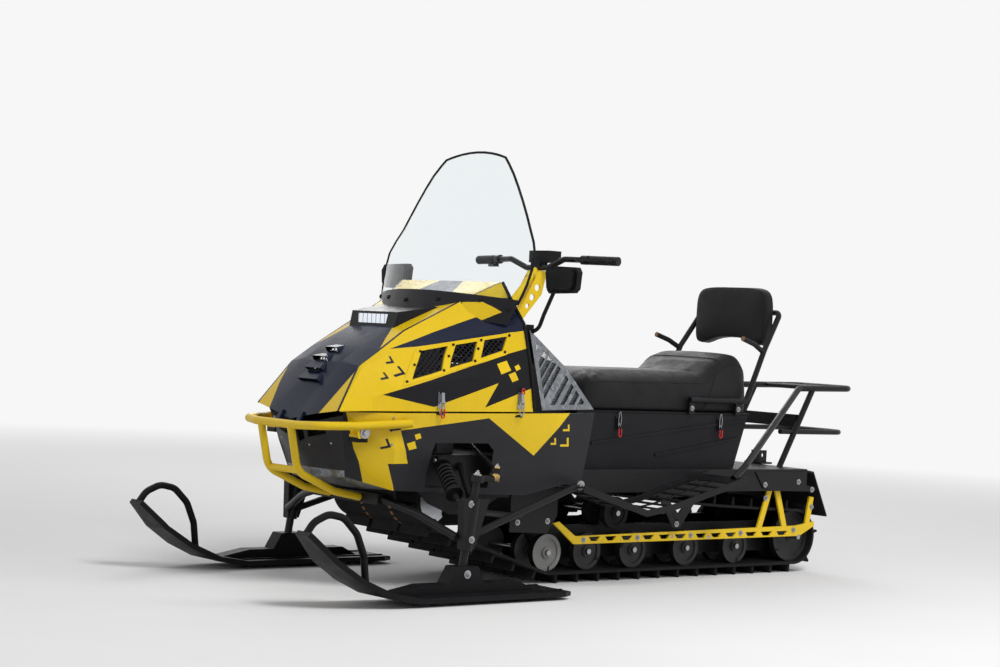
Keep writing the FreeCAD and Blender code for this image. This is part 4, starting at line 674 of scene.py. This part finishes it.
def paint():
    painted("hood_sides", "hood", "hood_yellow", HOOD_SIDE_AREAS,
            zones=[("hood_black", on_back)])
    painted("lower_body", "chassis", "graphite", LOWER_AREAS, zones=[("graphite", on_back)])
    painted("hood_centre", "hood", "hood_navy", hood_centre_areas(), axes=(0, 1),
            zones=[("hood_black", lambda p, n: n.z < -0.1)])
    painted("wheels", "chassis", "rubber", width=1.2,
            zones=[("disc", on_wheels(WHEELS)), ("pale_disc", on_wheels(WHEELS[:1]))])
    painted("axles", "chassis", "steel", width=0.8, zones=[("black_plastic", on_sprocket)])
    painted("front_bumper", "chassis", "frame_yellow", width=0.0,
            areas=[("frame_yellow", [(228, 440), (282, 440), (282, BLOCK_TOP), (228, BLOCK_TOP)])],
            zones=[("washer", on_bracket), ("black_plastic", on_block)])
    painted("mirrors", "chassis", "black_plastic", width=2.0, axes=(1, 2),
            areas=[("black_plastic", [(side * y, z) for y, z in MIRROR]) for side in (1, -1)],
            zones=[("mirror", on_glass)])
    painted("hood_trim", "hood", "hood_black",
            areas=[("hood_yellow", [(-150, 900), (-166, 990), (-206, 994), (-246, 962)])], width=0.8)
    painted("tail_lamp", "chassis", "black_plastic", width=1.5,
            zones=[("red_lens", lambda p, n: n.x < -0.5)])
    painted("nose_panel", "chassis", "graphite", width=1.2,
            areas=[("zinc", [(50, 300), (420, 300), (420, 402), (50, 402)])])
    painted("handlebar", "steering", "black_metal", width=0.0,
            zones=[("grip", on_grip)])
    for side in ("left", "right"):
        painted(f"spindle_{side}", f"ski_and_spindle_{side}", "black_metal", width=0.6,
                zones=[("brass", lambda p, n: p[0] < -100 and p[2] > 404)])
    painted("backrest_frame", "seat", "black_metal", width=0.0,
            zones=[("amber", lambda p, n: n.x > 0.8 and abs(p[0] + 1570) < 4)])


# Padded pieces

PRESSURE = 4.0
FRAMES = 20                # of the cloth's run


def evaluated(obj):
    """The piece as its modifiers make it."""
    return obj.evaluated_get(bpy.context.evaluated_depsgraph_get())


def simulate(obj, held, cap):
    """Blows the piece up as cloth, held where the test says, each point within the cap, millimetres."""
    mesh = obj.data
    before = [v.co.copy() for v in mesh.vertices]
    group = obj.vertex_groups.new(name="held")
    for k, p in enumerate(before):
        share = held(mm(p))
        if share > 0:
            group.add([k], share, "REPLACE")
    cloth = obj.modifiers.new("cloth", "CLOTH")
    given(cloth.settings, use_pressure=True, uniform_pressure_force=PRESSURE, vertex_group_mass="held",
          quality=4)
    cloth.settings.effector_weights.gravity = 0.0
    scene = bpy.context.scene
    for k in range(1, FRAMES + 1):
        scene.frame_set(k)
    moved = [v.co.copy() for v in evaluated(obj).data.vertices]
    obj.modifiers.remove(cloth)
    scene.frame_set(1)
    for vert, p, q in zip(mesh.vertices, before, moved):
        step = q - p
        if step.length > 1e-9:
            vert.co = p + step * (min(1.0, cap / 1000 / step.length))


def remeshed(name, bm, cell):
    """Closed shape made again of even faces, cell millimetres wide."""
    rough = bpy.data.meshes.new(f"{name}_rough")
    bmesh.ops.recalc_face_normals(bm, faces=bm.faces)
    bm.to_mesh(rough)
    bm.free()
    obj = link(bpy.data.objects.new(f"{name}_rough", rough))
    given(obj.modifiers.new("grid", "REMESH"), mode="VOXEL", voxel_size=cell / 1000)
    given(obj.modifiers.new("even", "SMOOTH"), factor=0.5, iterations=6)
    shape = bpy.data.meshes.new_from_object(evaluated(obj))
    bpy.data.objects.remove(obj)
    bpy.data.meshes.remove(rough)
    return shape


def upholstered(name, bm, cell, held, cap, node, body):
    """Vinyl pad: an even mesh, blown up between its seams and smoothed once more."""
    mesh = remeshed(name, bm, cell)
    obj = link(bpy.data.objects.new(name, mesh))
    simulate(obj, held, cap)
    given(obj.modifiers.new("settle", "SMOOTH"), factor=0.5, iterations=2)
    given(obj.modifiers.new("finer", "SUBSURF"), levels=1, render_levels=1)
    obj.data = bpy.data.meshes.new_from_object(evaluated(obj))
    obj.modifiers.clear()
    obj.data.name = name
    obj.data.materials.clear()
    obj.data.materials.append(MAT["seat_vinyl"])
    obj.data.polygons.foreach_set("use_smooth", [True] * len(obj.data.polygons))
    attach(obj, body)
    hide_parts(node)
    return obj


SEAT_HALF_W = 222.0
SEAT_LOW = 628.3
# Places along the seat and the height of its top there
SEAT_TOP = [(-776, 690), (-779, 722), (-790, 746), (-812, 762), (-850, 769), (-1100, 771), (-1392, 773),
            (-1425, 790), (-1460, 818), (-1500, 843), (-1545, 857), (-1588, 857), (-1618, 832),
            (-1636, 796), (-1648, 740), (-1651, 690)]
SEAT_SEAM = ((-1392.0, 632.0), (-1461.0, 778.0), (-1490.0, 845.0))    # down each side and over the top


def seat_top(x):
    for (x0, z0), (x1, z1) in zip(SEAT_TOP, SEAT_TOP[1:]):
        if x1 <= x <= x0:
            return z0 + (z1 - z0) * (x - x0) / (x1 - x0)
    return SEAT_TOP[0][1] if x > SEAT_TOP[0][0] else SEAT_TOP[-1][1]


def seat_shape():
    rings = []
    first, last = SEAT_TOP[0][0], SEAT_TOP[-1][0]
    for x, top in SEAT_TOP:
        ends = min(first - x, x - last)
        w = SEAT_HALF_W - 5 - 26 * max(0.0, 1 - ends / 60) ** 2
        h = top - SEAT_LOW
        half = [(0, 0), (w * 0.5, 0), (w - 6, 0), (w, 8), (w + 2, h * 0.45), (w - 3, h - 46),
                (w - 10, h - 24), (w - 26, h - 8), (w - 52, h - 1), (w * 0.5, h + 1), (0, h + 2)]
        ring = half + [(-y, z) for y, z in half[-2:0:-1]]
        rings.append([at(x, y, SEAT_LOW + z) for y, z in ring])
    bm = bmesh.new()
    loft(bm, rings)
    return bm


def near(away, tight, loose):
    """1 within the tight distance, falling to 0 at the loose one."""
    return max(0.0, min(1.0, (loose - away) / (loose - tight)))


def to_path(p, path):
    """Distance of a point from a path in the same two coordinates."""
    best = 1e9
    for a, b in zip(path, path[1:]):
        length = dist(a, b)
        t = ((p[0] - a[0]) * (b[0] - a[0]) + (p[1] - a[1]) * (b[1] - a[1])) / length ** 2
        t = max(0.0, min(1.0, t))
        best = min(best, dist(p, (a[0] + (b[0] - a[0]) * t, a[1] + (b[1] - a[1]) * t)))
    return best


RAISED_FROM = -1400        # where the seat's raised rear begins
RIM_HIGHEST = 740          # of the seam along each side, ahead of the raised rear


def seat_rim(x):
    """Height of the seam along each side, under the top's edge."""
    return min(seat_top(x) - 34, RIM_HIGHEST) if x > RAISED_FROM else seat_top(x) - 40


def seat_held(p):
    x, y, z = p
    share = near(z, SEAT_LOW + 6, SEAT_LOW + 22)
    share = max(share, near(to_path((x, z), SEAT_SEAM), 3, 13))
    if abs(y) > SEAT_HALF_W - 40:
        share = max(share, near(abs(z - seat_rim(x)), 2, 10))
    return share


# Outline of the backrest pad, across and up, and its front and back
PAD_OUTLINE = [(0, 1126), (110, 1126), (168, 1118), (192, 1082), (194, 1010), (192, 920), (176, 897),
               (140, 897), (90, 916), (45, 924), (0, 925)]
PAD_X = (-1792.0, -1738.0)


def smoothed(outline, times):
    """Closed outline with its corners cut off, again and again."""
    for _ in range(times):
        out = []
        for (a, b), (c, d) in zip(outline, outline[1:] + outline[:1]):
            out += [(a * 0.75 + c * 0.25, b * 0.75 + d * 0.25), (a * 0.25 + c * 0.75, b * 0.25 + d * 0.75)]
        outline = out
    return outline


def pad_outline():
    return smoothed(PAD_OUTLINE + [(-y, z) for y, z in PAD_OUTLINE[-2:0:-1]], 2)


def shrunk(outline, step):
    """Outline moved inwards by a step."""
    out = []
    count = len(outline)
    for k, (y, z) in enumerate(outline):
        (y0, z0), (y1, z1) = outline[k - 1], outline[(k + 1) % count]
        d = dist((y0, z0), (y1, z1))
        out.append((y - (z0 - z1) / d * step, z - (y1 - y0) / d * step))
    return out


# Steps from the pad's outline inwards, at places from its back and from its front
PAD_STEPS = [(0, 0, 6), (0, 4, 1), (0, 12, 0), (1, -16, 0), (1, -5, 4), (1, 0, 14)]
PAD_SEAMS = (PAD_X[0] + 10, PAD_X[1] - 8)


def pad_shape():
    outline = pad_outline()
    bm = bmesh.new()
    loft(bm, [[at(PAD_X[end] + dx, y, z) for y, z in shrunk(outline, step)] for end, dx, step in PAD_STEPS])
    return bm


def pad_held(p):
    back_seam, front_seam = PAD_SEAMS
    share = near(p[0], PAD_X[0] + 3, PAD_X[0] + 8)
    share = max(share, near(abs(p[0] - back_seam), 2, 7))
    return max(share, near(abs(p[0] - front_seam), 2, 8))


WELT_R = 2.2
ASIDE = 400                # beside the seat
ABOVE = 1200               # over the seat


def welt(bm, tree, starts, ways, closed=False):
    """Piping that lies on a pad's skin, where lines from the starts meet it."""
    points = []
    for p, way in zip(starts, ways):
        place, normal, _, _ = tree.ray_cast(p, way)
        if place is not None:
            points.append(place - normal * 0.0002)
    swept(bm, points, WELT_R, closed=closed)


def between(path, step):
    """Points along a path, a step apart."""
    out = []
    for a, b in zip(path, path[1:]):
        count = max(1, int(dist(a, b) // step))
        for k in range(count):
            out.append(tuple(p + (q - p) * k / count for p, q in zip(a, b)))
    out.append(path[-1])
    return out


def make_pads():
    seat = upholstered("seat", seat_shape(), 10.0, seat_held, 9.0, "seat_cushion", "seat")
    tree = skin_of(seat.data)
    bm = bmesh.new()
    for side in (1, -1):
        rim = [(x, seat_rim(x)) for x in range(-786, -1640, -9)]
        for seam in (rim, between(SEAT_SEAM, 9.0)):
            starts = [at(x, side * ASIDE, z) for x, z in seam]
            welt(bm, tree, starts, [Vector((0, -side, 0))] * len(seam))
    over = [(SEAT_SEAM[-1][0], y, ABOVE) for y in range(-196, 197, 8)]
    welt(bm, tree, [at(*p) for p in over], [Vector((0, 0, -1))] * len(over))
    make("seat_welts", bm, ["seat_vinyl"], "seat")

    pad = upholstered("back_pad", pad_shape(), 6.0, pad_held, 9.0, "backrest_pad", "seat")
    tree = skin_of(pad.data)
    bm = bmesh.new()
    for x in PAD_SEAMS:
        starts, ways = [], []
        for y, z in pad_outline():
            centre = Vector((x / 1000 + PIVOT_X, y / 1000 * 0.55, 1.010 + (z - 1010) / 1000 * 0.4))
            edge = at(x, y, z)
            way = (edge - centre).normalized()
            starts.append(edge + way * 0.08)
            ways.append(-way)
        welt(bm, tree, starts, ways, closed=True)
    make("pad_welts", bm, ["seat_vinyl"], "seat")


# Fasteners and small parts

VENT_BOLTS = [(38, 814), (-76, 842), (-172, 863), (-271, 884), (-256, 826), (-142, 791), (-27, 754),
              (104, 711), (66, 768), (-56, 803), (-158, 833)]
# Across and up, seen from the front
SHIELD_BOLTS = [(-367, 973), (-284, 1001), (-141, 998), (0, 991), (141, 998), (284, 1001), (367, 973)]
NOSE_RIVETS = [(66, 553), (150, 560), (52, 480), (148, 492)]


def make_hood_fasteners():
    bm = bmesh.new()
    for place, normal in on_both_sides("hood_sides", VENT_BOLTS):
        turned(bm, place, normal, scaled(BUTTON, 5.0), 14)
    for y, z in SHIELD_BOLTS:
        place, normal = touch("hood_trim", at(600, y, z), Vector((-1, 0, 0)))
        turned(bm, place, normal, scaled(BUTTON, 8.5), 18)
    make("hood_screws", bm, ["black_metal"], "hood")


# Windshield's edge, x, y, z from its foot to its top, and the middle of the top, x and z
SHIELD = [
    (-282.0, 388.0, 990.0), (-302.0, 410.0, 1062.0), (-326.0, 414.0, 1165.0), (-345.0, 362.0, 1252.0),
    (-357.0, 300.0, 1352.0), (-368.0, 228.0, 1452.0), (-378.0, 168.0, 1512.0)]
SHIELD_TOP = (-385.0, 1536.0)
SHIELD_STEPS = [1.0, 0.85, 0.7, 0.5, 0.25, 0.0]
TRIM_R = 4.6
HOOD_EDGE = [(-296, 288, 1066), (-300, 330, 1012), (-322, 383, 926), (-349, 401, 776), (-371, 404, 636)]


def eased(rows, k):
    """Place halfway between two rows, on the smooth curve through their neighbours."""
    a, b, c, d = rows[max(k - 1, 0)], rows[k], rows[k + 1], rows[min(k + 2, len(rows) - 1)]
    return tuple((9 * (q + r) - p - t) / 16 for p, q, r, t in zip(a, b, c, d))


def shield_edge():
    """Places along the windshield's edge, from its foot to the top's middle."""
    places = []
    for k in range(len(SHIELD) - 1):
        places += [SHIELD[k], eased(SHIELD, k)]
    (xc, zc), (xe, ye, ze) = SHIELD_TOP, SHIELD[-1]
    for s in SHIELD_STEPS:
        places.append((xc + (xe - xc) * s * s, ye * s, zc + (ze - zc) * s * s))
    return places


def make_trim():
    half = shield_edge()
    path = half + [(x, -y, z) for x, y, z in half[-2::-1]]
    bm = bmesh.new()
    swept(bm, [at(x - 1.5, y, z) for x, y, z in path], TRIM_R, 10, side_way=Vector((1, 0, 0)))
    make("windshield_trim", bm, ["rubber"], "hood")
    bm = bmesh.new()
    for side in (1, -1):
        swept(bm, [at(x, side * y, z) for x, y, z in between(HOOD_EDGE, 60)], 5.5)
    make("hood_edge_rubber", bm, ["rubber"], "hood")


# Place along X, height of the seam there and whether the loop is at the latch's top
LATCHES = [(-15.0, 612, False), (-315.0, 622, True)]
BOX_LATCHES = (-942.0, -1478.0)
LOOP_R = 2.3


def u_loop(x, y, low, high, half):
    """Points of a loop standing in a plane along the machine, a rounded end at its low side."""
    points = []
    for k in range(9):
        a = pi + pi * k / 8
        points.append((x + half * cos(a), y, low + half + half * sin(a)))
    return [(x - half, y, high)] + points + [(x + half, y, high)]


def make_latch_loops():
    bm = bmesh.new()
    for x, seam, upper in LATCHES:
        place, _ = from_side("hood_latches", x, 660)
        y = mm(place)[1] + 4
        for side in (1, -1):
            if upper:
                loop = [(px, py, 2 * (seam + 70) - pz) for px, py, pz in
                        u_loop(x, side * (y - 6), seam + 58, seam + 78, 5.5)]
            else:
                loop = u_loop(x, side * (y - 2), seam - 18, seam + 12, 6.5)
            swept(bm, [at(*p) for p in loop], LOOP_R)
    make("hood_latch_loops", bm, ["red_plastic"], "hood")
    bm = bmesh.new()
    for x in BOX_LATCHES:
        swept(bm, [at(*p) for p in u_loop(x, 238, 532, 562, 6.5)], LOOP_R)
    make("box_latch_loops", bm, ["red_plastic"], "chassis")
    bm = bmesh.new()
    for x in BOX_LATCHES:
        for dx in (-5.5, 5.5):
            swept(bm, [at(x + dx, 233, 570), at(x + dx * 1.3, 235, 600), at(x + dx * 0.5, 233, 622)], 1.6)
        swept(bm, [at(x - 5, 234, 622), at(x + 5, 234, 622)], 1.8)
        turned(bm, at(x, 231, 578), Vector((0, 1, 0)), scaled(RIVET, 4.0), 12)
    make("box_latch_wires", bm, ["steel"], "chassis")


# Place along X and half the length
KEEPERS = [(-15, 15), (-315, 15), (222, 20)]
SEAM_Z = 604.0
SIDE_SLOPE = 0.24          # of the lower body's side there, seen from above


def make_keepers():
    """Half-round pads under the seam, where the hood's latches and a third stop rest."""
    bm = bmesh.new()
    for side in (1, -1):
        for x, half in KEEPERS:
            y = mm(from_side("lower_body", x, SEAM_Z - 8, side)[0])[1]
            rim = [(half * cos(a), 10 * sin(a)) for a in [pi * k / 8 for k in range(9)]]
            loft(bm, [[at(x + u, y + side * out - side * u * SIDE_SLOPE, SEAM_Z + w * 0.9) for u, w in rim]
                      for out in (-1, 3.5)])
    make("seam_pads", bm, ["rubber"], "chassis", width=0.6)


# Node: places along X and Z, on both sides
RIVETS = {
    "deflectors": [(-412, 642), (-500, 642), (-625, 642), (-560, 730), (-525, 770), (-480, 798),
                   (-372, 886), (-455, 706)],
    "lower_body": [(150, 588), (150, 500)],
}
NUTS = {
    "tunnel_plates": [(-1687, 355), (-1880, 365), (-1962, 334), (-1208, 210), (-560, 232), (-420, 230)],
    "side_rails": [(-762, 158), (-1034, 160), (-1313, 163), (-1588, 166), (-1892, 172), (-1720, 300),
                   (-1992, 262)],
}
ROD_END = (-556, 460, 374)         # trailing rod's rear end
SHOCK_NUTS = [(-68, -1), (-32, 1)]    # behind and ahead of the front shock's upper end
KING_LEAN = radians(8)             # of the spindle, backwards
KING_Y = 510
KING_TOP = 405
KING_FOOT = 100                    # height of the ski's pivot, where its axis meets x = 0
STEER_ARM = 0.08                   # length of the spindle's arm, metres


def make_chassis_fasteners():
    bm = bmesh.new()
    for node, places in RIVETS.items():
        for place, normal in on_both_sides(node, places):
            turned(bm, place, normal, scaled(RIVET, 4.5), 12)
    for y, z in NOSE_RIVETS:
        for side in (1, -1):
            place, normal = touch("nose_panel", at(700, y * side, z), Vector((-1, 0, 0)))
            turned(bm, place, normal, scaled(RIVET, 4.0), 12)
    make("rivets", bm, ["steel"], "chassis")
    bm = bmesh.new()
    for node, places in NUTS.items():
        for place, normal in on_both_sides(node, places):
            bolt(bm, place, normal, 11.0)
    for side in (1, -1):
        for x, z in ((-12, 322), (-16, 205)):
            place, normal = from_side("spindle_housings", x, z, side)
            bolt(bm, place, normal, 12.0)
        bolt(bm, at(ROD_END[0], side * ROD_END[1], ROD_END[2]), Vector((0, side, 0)), 17.0)
        for x, way in SHOCK_NUTS:
            turned(bm, at(x, side * 300, 448), Vector((way, 0, 0)), scaled(HEX, 12), 6)
    make("nuts", bm, ["washer"], "chassis")
    bm = bmesh.new()
    for place, normal in on_both_sides("backrest_frame", [(-1315, 644), (-1570, 644)]):
        bolt(bm, place, normal, 10.0)
    make("seat_nuts", bm, ["washer"], "seat")
    for name, side in (("left", 1), ("right", -1)):
        bm = bmesh.new()
        king = Vector((-sin(KING_LEAN), 0, cos(KING_LEAN)))
        top = at(-(KING_TOP - KING_FOOT) * tan(KING_LEAN), KING_Y * side, KING_TOP)
        bolt(bm, top + king * 0.013, king, 15.0)
        bolt(bm, top + Vector((-STEER_ARM, 0, 0)) + king * 0.040, king, 10.0)
        place, normal = from_side(f"ski_{name}", 0, 92, side)
        bolt(bm, place, normal, 14.0)
        make(f"spindle_nuts_{name}", bm, ["washer"], f"ski_and_spindle_{name}")


def wire_sheet(bm, outline, place, pitch, radius):
    """Crossed wires that fill an outline; place turns its two coordinates into a point."""
    for turn in (0, 1):
        flat = [(p[turn], p[1 - turn]) for p in outline]
        lo, hi = min(p[0] for p in flat), max(p[0] for p in flat)
        u = lo + pitch / 2
        while u < hi:
            cuts = []
            for (a, b), (c, d) in zip(flat, flat[1:] + flat[:1]):
                if (a > u) != (c > u):
                    cuts.append(b + (d - b) * (u - a) / (c - a))
            cuts.sort()
            for b0, b1 in zip(cuts[::2], cuts[1::2]):
                ends = [(u, b0), (u, b1)] if turn == 0 else [(b0, u), (b1, u)]
                swept(bm, [place(*e) for e in ends], radius, 4)
            u += pitch


# Across and up
NOSE_OPENINGS = ([(4, 546), (52, 548), (44, 496), (4, 484)],
                 [(58, 549), (156, 556), (146, 520), (50, 500)])
# Corners of the deflectors' two halves
DEFLECTORS = (((-519, 389, 783), (-404, 408, 631), (-352, 379, 908)),
              ((-519, 389, 783), (-404, 408, 631), (-644, 412, 638)))


def make_meshes():
    """Fine wire meshes behind the nose's openings and the deflectors' slots."""
    bm = bmesh.new()
    for side in (1, -1):
        for outline in NOSE_OPENINGS:

            def place(y, z):
                x = 352 - 0.33 * max(0, y - 10) - 0.28 * (556 - z)
                return at(x - 16, y * side, z)

            wire_sheet(bm, outline, place, 5.0, 0.8)
    make("nose_mesh", bm, ["black_metal"], "chassis")
    bm = bmesh.new()
    for side in (1, -1):
        for corners in DEFLECTORS:
            p, q, r = (Vector(v) for v in corners)
            normal = (q - p).cross(r - p)
            middle = (p + q + r) / 3
            outline = []
            for v in (p, q, r):
                w = v + (middle - v).normalized() * 20
                outline.append((w.x, w.z))

            def place(x, z):
                y = p.y - (normal.x * (x - p.x) + normal.z * (z - p.z)) / normal.y
                return at(x, (y - 7.5) * side, z)

            wire_sheet(bm, outline, place, 6.0, 0.9)
    make("deflector_mesh", bm, ["zinc"], "chassis")


CLIP_Y = (-82, 82)
CLIP_LOW = 32.6            # height of the lower run's outside
CLIP_PITCH = 52.0
BELT_R = 0.1095            # round the drive axle, metres


def make_clips():
    """Copper clips round the belt's windows, between its lugs."""
    bm = bmesh.new()
    x = -660.0
    while x > -1880.0:
        for y in CLIP_Y:
            turned(bm, at(x, y, CLIP_LOW), Vector((0, 0, -1)), [(0, 0), (9, 0), (9, 2), (0, 2)], 4)
        x -= CLIP_PITCH
    for k in range(14):
        a = radians(100 - 13.5 * k)
        out = Vector((cos(a), 0, sin(a)))
        for y in CLIP_Y:
            centre = at(DRIVE_AXIS[0], y, DRIVE_AXIS[1]) + out * BELT_R
            turned(bm, centre, out, [(0, 0), (10, 0), (10, 2.2), (0, 2.2)], 4)
    make("track_clips", bm, ["copper"], "chassis")


# Painted shade: black sheets that stand for shade where the view goes through the body and the track
GAP_SHADE = [(-342, 925), (-350, 790), (-386, 790), (-377, 925)]    # behind the hood's rear edge
TRACK_SHADE = [(-200, 335), (-640, 335), (-640, 190), (-300, 190), (-200, 230)]
BODY_SHADE = [(190, 470), (190, 640), (-330, 640), (-330, 550), (-90, 550), (-90, 470)]
# Outline along and up, its place across and the sides that have it
SHADE_SHEETS = [(BODY_SHADE, 228, (1, -1)), (GAP_SHADE, 370, (1, -1)), (TRACK_SHADE, -1, (1,))]
SHADE_THICK = 2
DASH_SHADE = [(-274, 455), (274, 455), (274, 600), (-274, 600)]    # across and up
DASH_SHADE_X = (-428, -425)


def make_painted_shade():
    """Black sheets of painted shade that close the view across: inside the body, behind the hood's rear
    edge, across the body near the dash and in the track's middle plane, where there is only shade.
    """
    bm = bmesh.new()
    for outline, deep, sides in SHADE_SHEETS:
        for side in sides:
            loft(bm, [[at(x, side * y, z) for x, z in outline] for y in (deep, deep + SHADE_THICK)])
    loft(bm, [[at(x, y, z) for y, z in DASH_SHADE] for x in DASH_SHADE_X])
    make("painted_shade_sheets", bm, ["black_plastic"], "chassis")


# Floor, lights and background
PALE = 0.93
FLOOR_HALF = 60.0
FADE = (2.2, 9.0)          # distances between which the floor turns into the background, metres


def make_floor():
    mesh = bpy.data.meshes.new("floor")
    s = FLOOR_HALF
    mesh.from_pydata([(-s, -s, 0), (s, -s, 0), (s, s, 0), (-s, s, 0)], [], [(0, 1, 2, 3)])
    floor = bpy.data.objects.new("floor", mesh)
    floor.location.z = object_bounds()[0].z
    link(floor)
    tree, bsdf = start("floor", **{"Roughness": 0.9, "Specular IOR Level": 0.1})
    tone = mixed(tree, noise(tree, 2.0, 3.0), (0.80, 0.80, 0.80), (0.83, 0.83, 0.83))
    wire(tone, bsdf.inputs["Base Color"])
    glow = add(tree, "ShaderNodeEmission", Color=(PALE, PALE, PALE, 1), Strength=1.0)
    place = tree.nodes.new("ShaderNodeTexCoord")
    reach = given(tree.nodes.new("ShaderNodeVectorMath"), operation="LENGTH")
    wire(place.outputs["Object"], reach.inputs[0])
    far = ramp(tree, reach.outputs["Value"], *FADE)
    mix = tree.nodes.new("ShaderNodeMixShader")
    wire(sums(tree, "MULTIPLY", far, seen(tree)), mix.inputs["Fac"])
    wire(bsdf.outputs[0], mix.inputs[1])
    wire(glow.outputs[0], mix.inputs[2])
    wire(mix.outputs[0], tree.nodes["Material Output"].inputs["Surface"])
    floor.data.materials.append(MAT["floor"])


def seen(tree):
    """1 for rays from the camera, mirrors and clear sheets, which show the plain background."""
    path = tree.nodes.new("ShaderNodeLightPath")
    total = path.outputs["Is Camera Ray"]
    for name in ("Is Glossy Ray", "Is Transmission Ray"):
        total = sums(tree, "MAXIMUM", total, path.outputs[name])
    return total


AMBIENT = 0.36


def make_world():
    world = bpy.data.worlds.new("world")
    bpy.context.scene.world = world
    world.use_nodes = True
    tree = world.node_tree
    sky = tree.nodes["Background"]
    tone = mixed(tree, seen(tree), (AMBIENT, AMBIENT, AMBIENT * 1.03), (PALE, PALE, PALE))
    wire(tone, sky.inputs["Color"])


LAMP_AIM = (0, 0, 0.5)
# Name, place and size in metres, strength in watts, and whether shiny surfaces show it
LAMPS = [
    ("key", (0.6, 3.6, 4.8), 2.2, 190, False),
    ("side", (-3.6, 4.2, 3.0), 2.5, 70, False),
    ("fill", (5.0, -1.0, 2.2), 3.0, 22, True),
    ("back", (-2.5, -4.0, 3.5), 3.0, 70, True),
]


def make_lamps():
    for name, place, size, power, glossy in LAMPS:
        data = given(bpy.data.lights.new(name, "AREA"), shape="DISK", size=size, energy=power)
        lamp = link(bpy.data.objects.new(name, data))
        lamp.location = place
        lamp.visible_glossy = glossy
        lamp.rotation_euler = (Vector(LAMP_AIM) - Vector(place)).to_track_quat("-Z", "Y").to_euler()


make_camera()
dress()
paint()
make_pads()
make_hood_fasteners()
make_trim()
make_latch_loops()
make_keepers()
make_chassis_fasteners()
make_meshes()
make_clips()
make_painted_shade()
make_world()
make_floor()
make_lamps()
bpy.context.scene.view_settings.view_transform = "Standard"
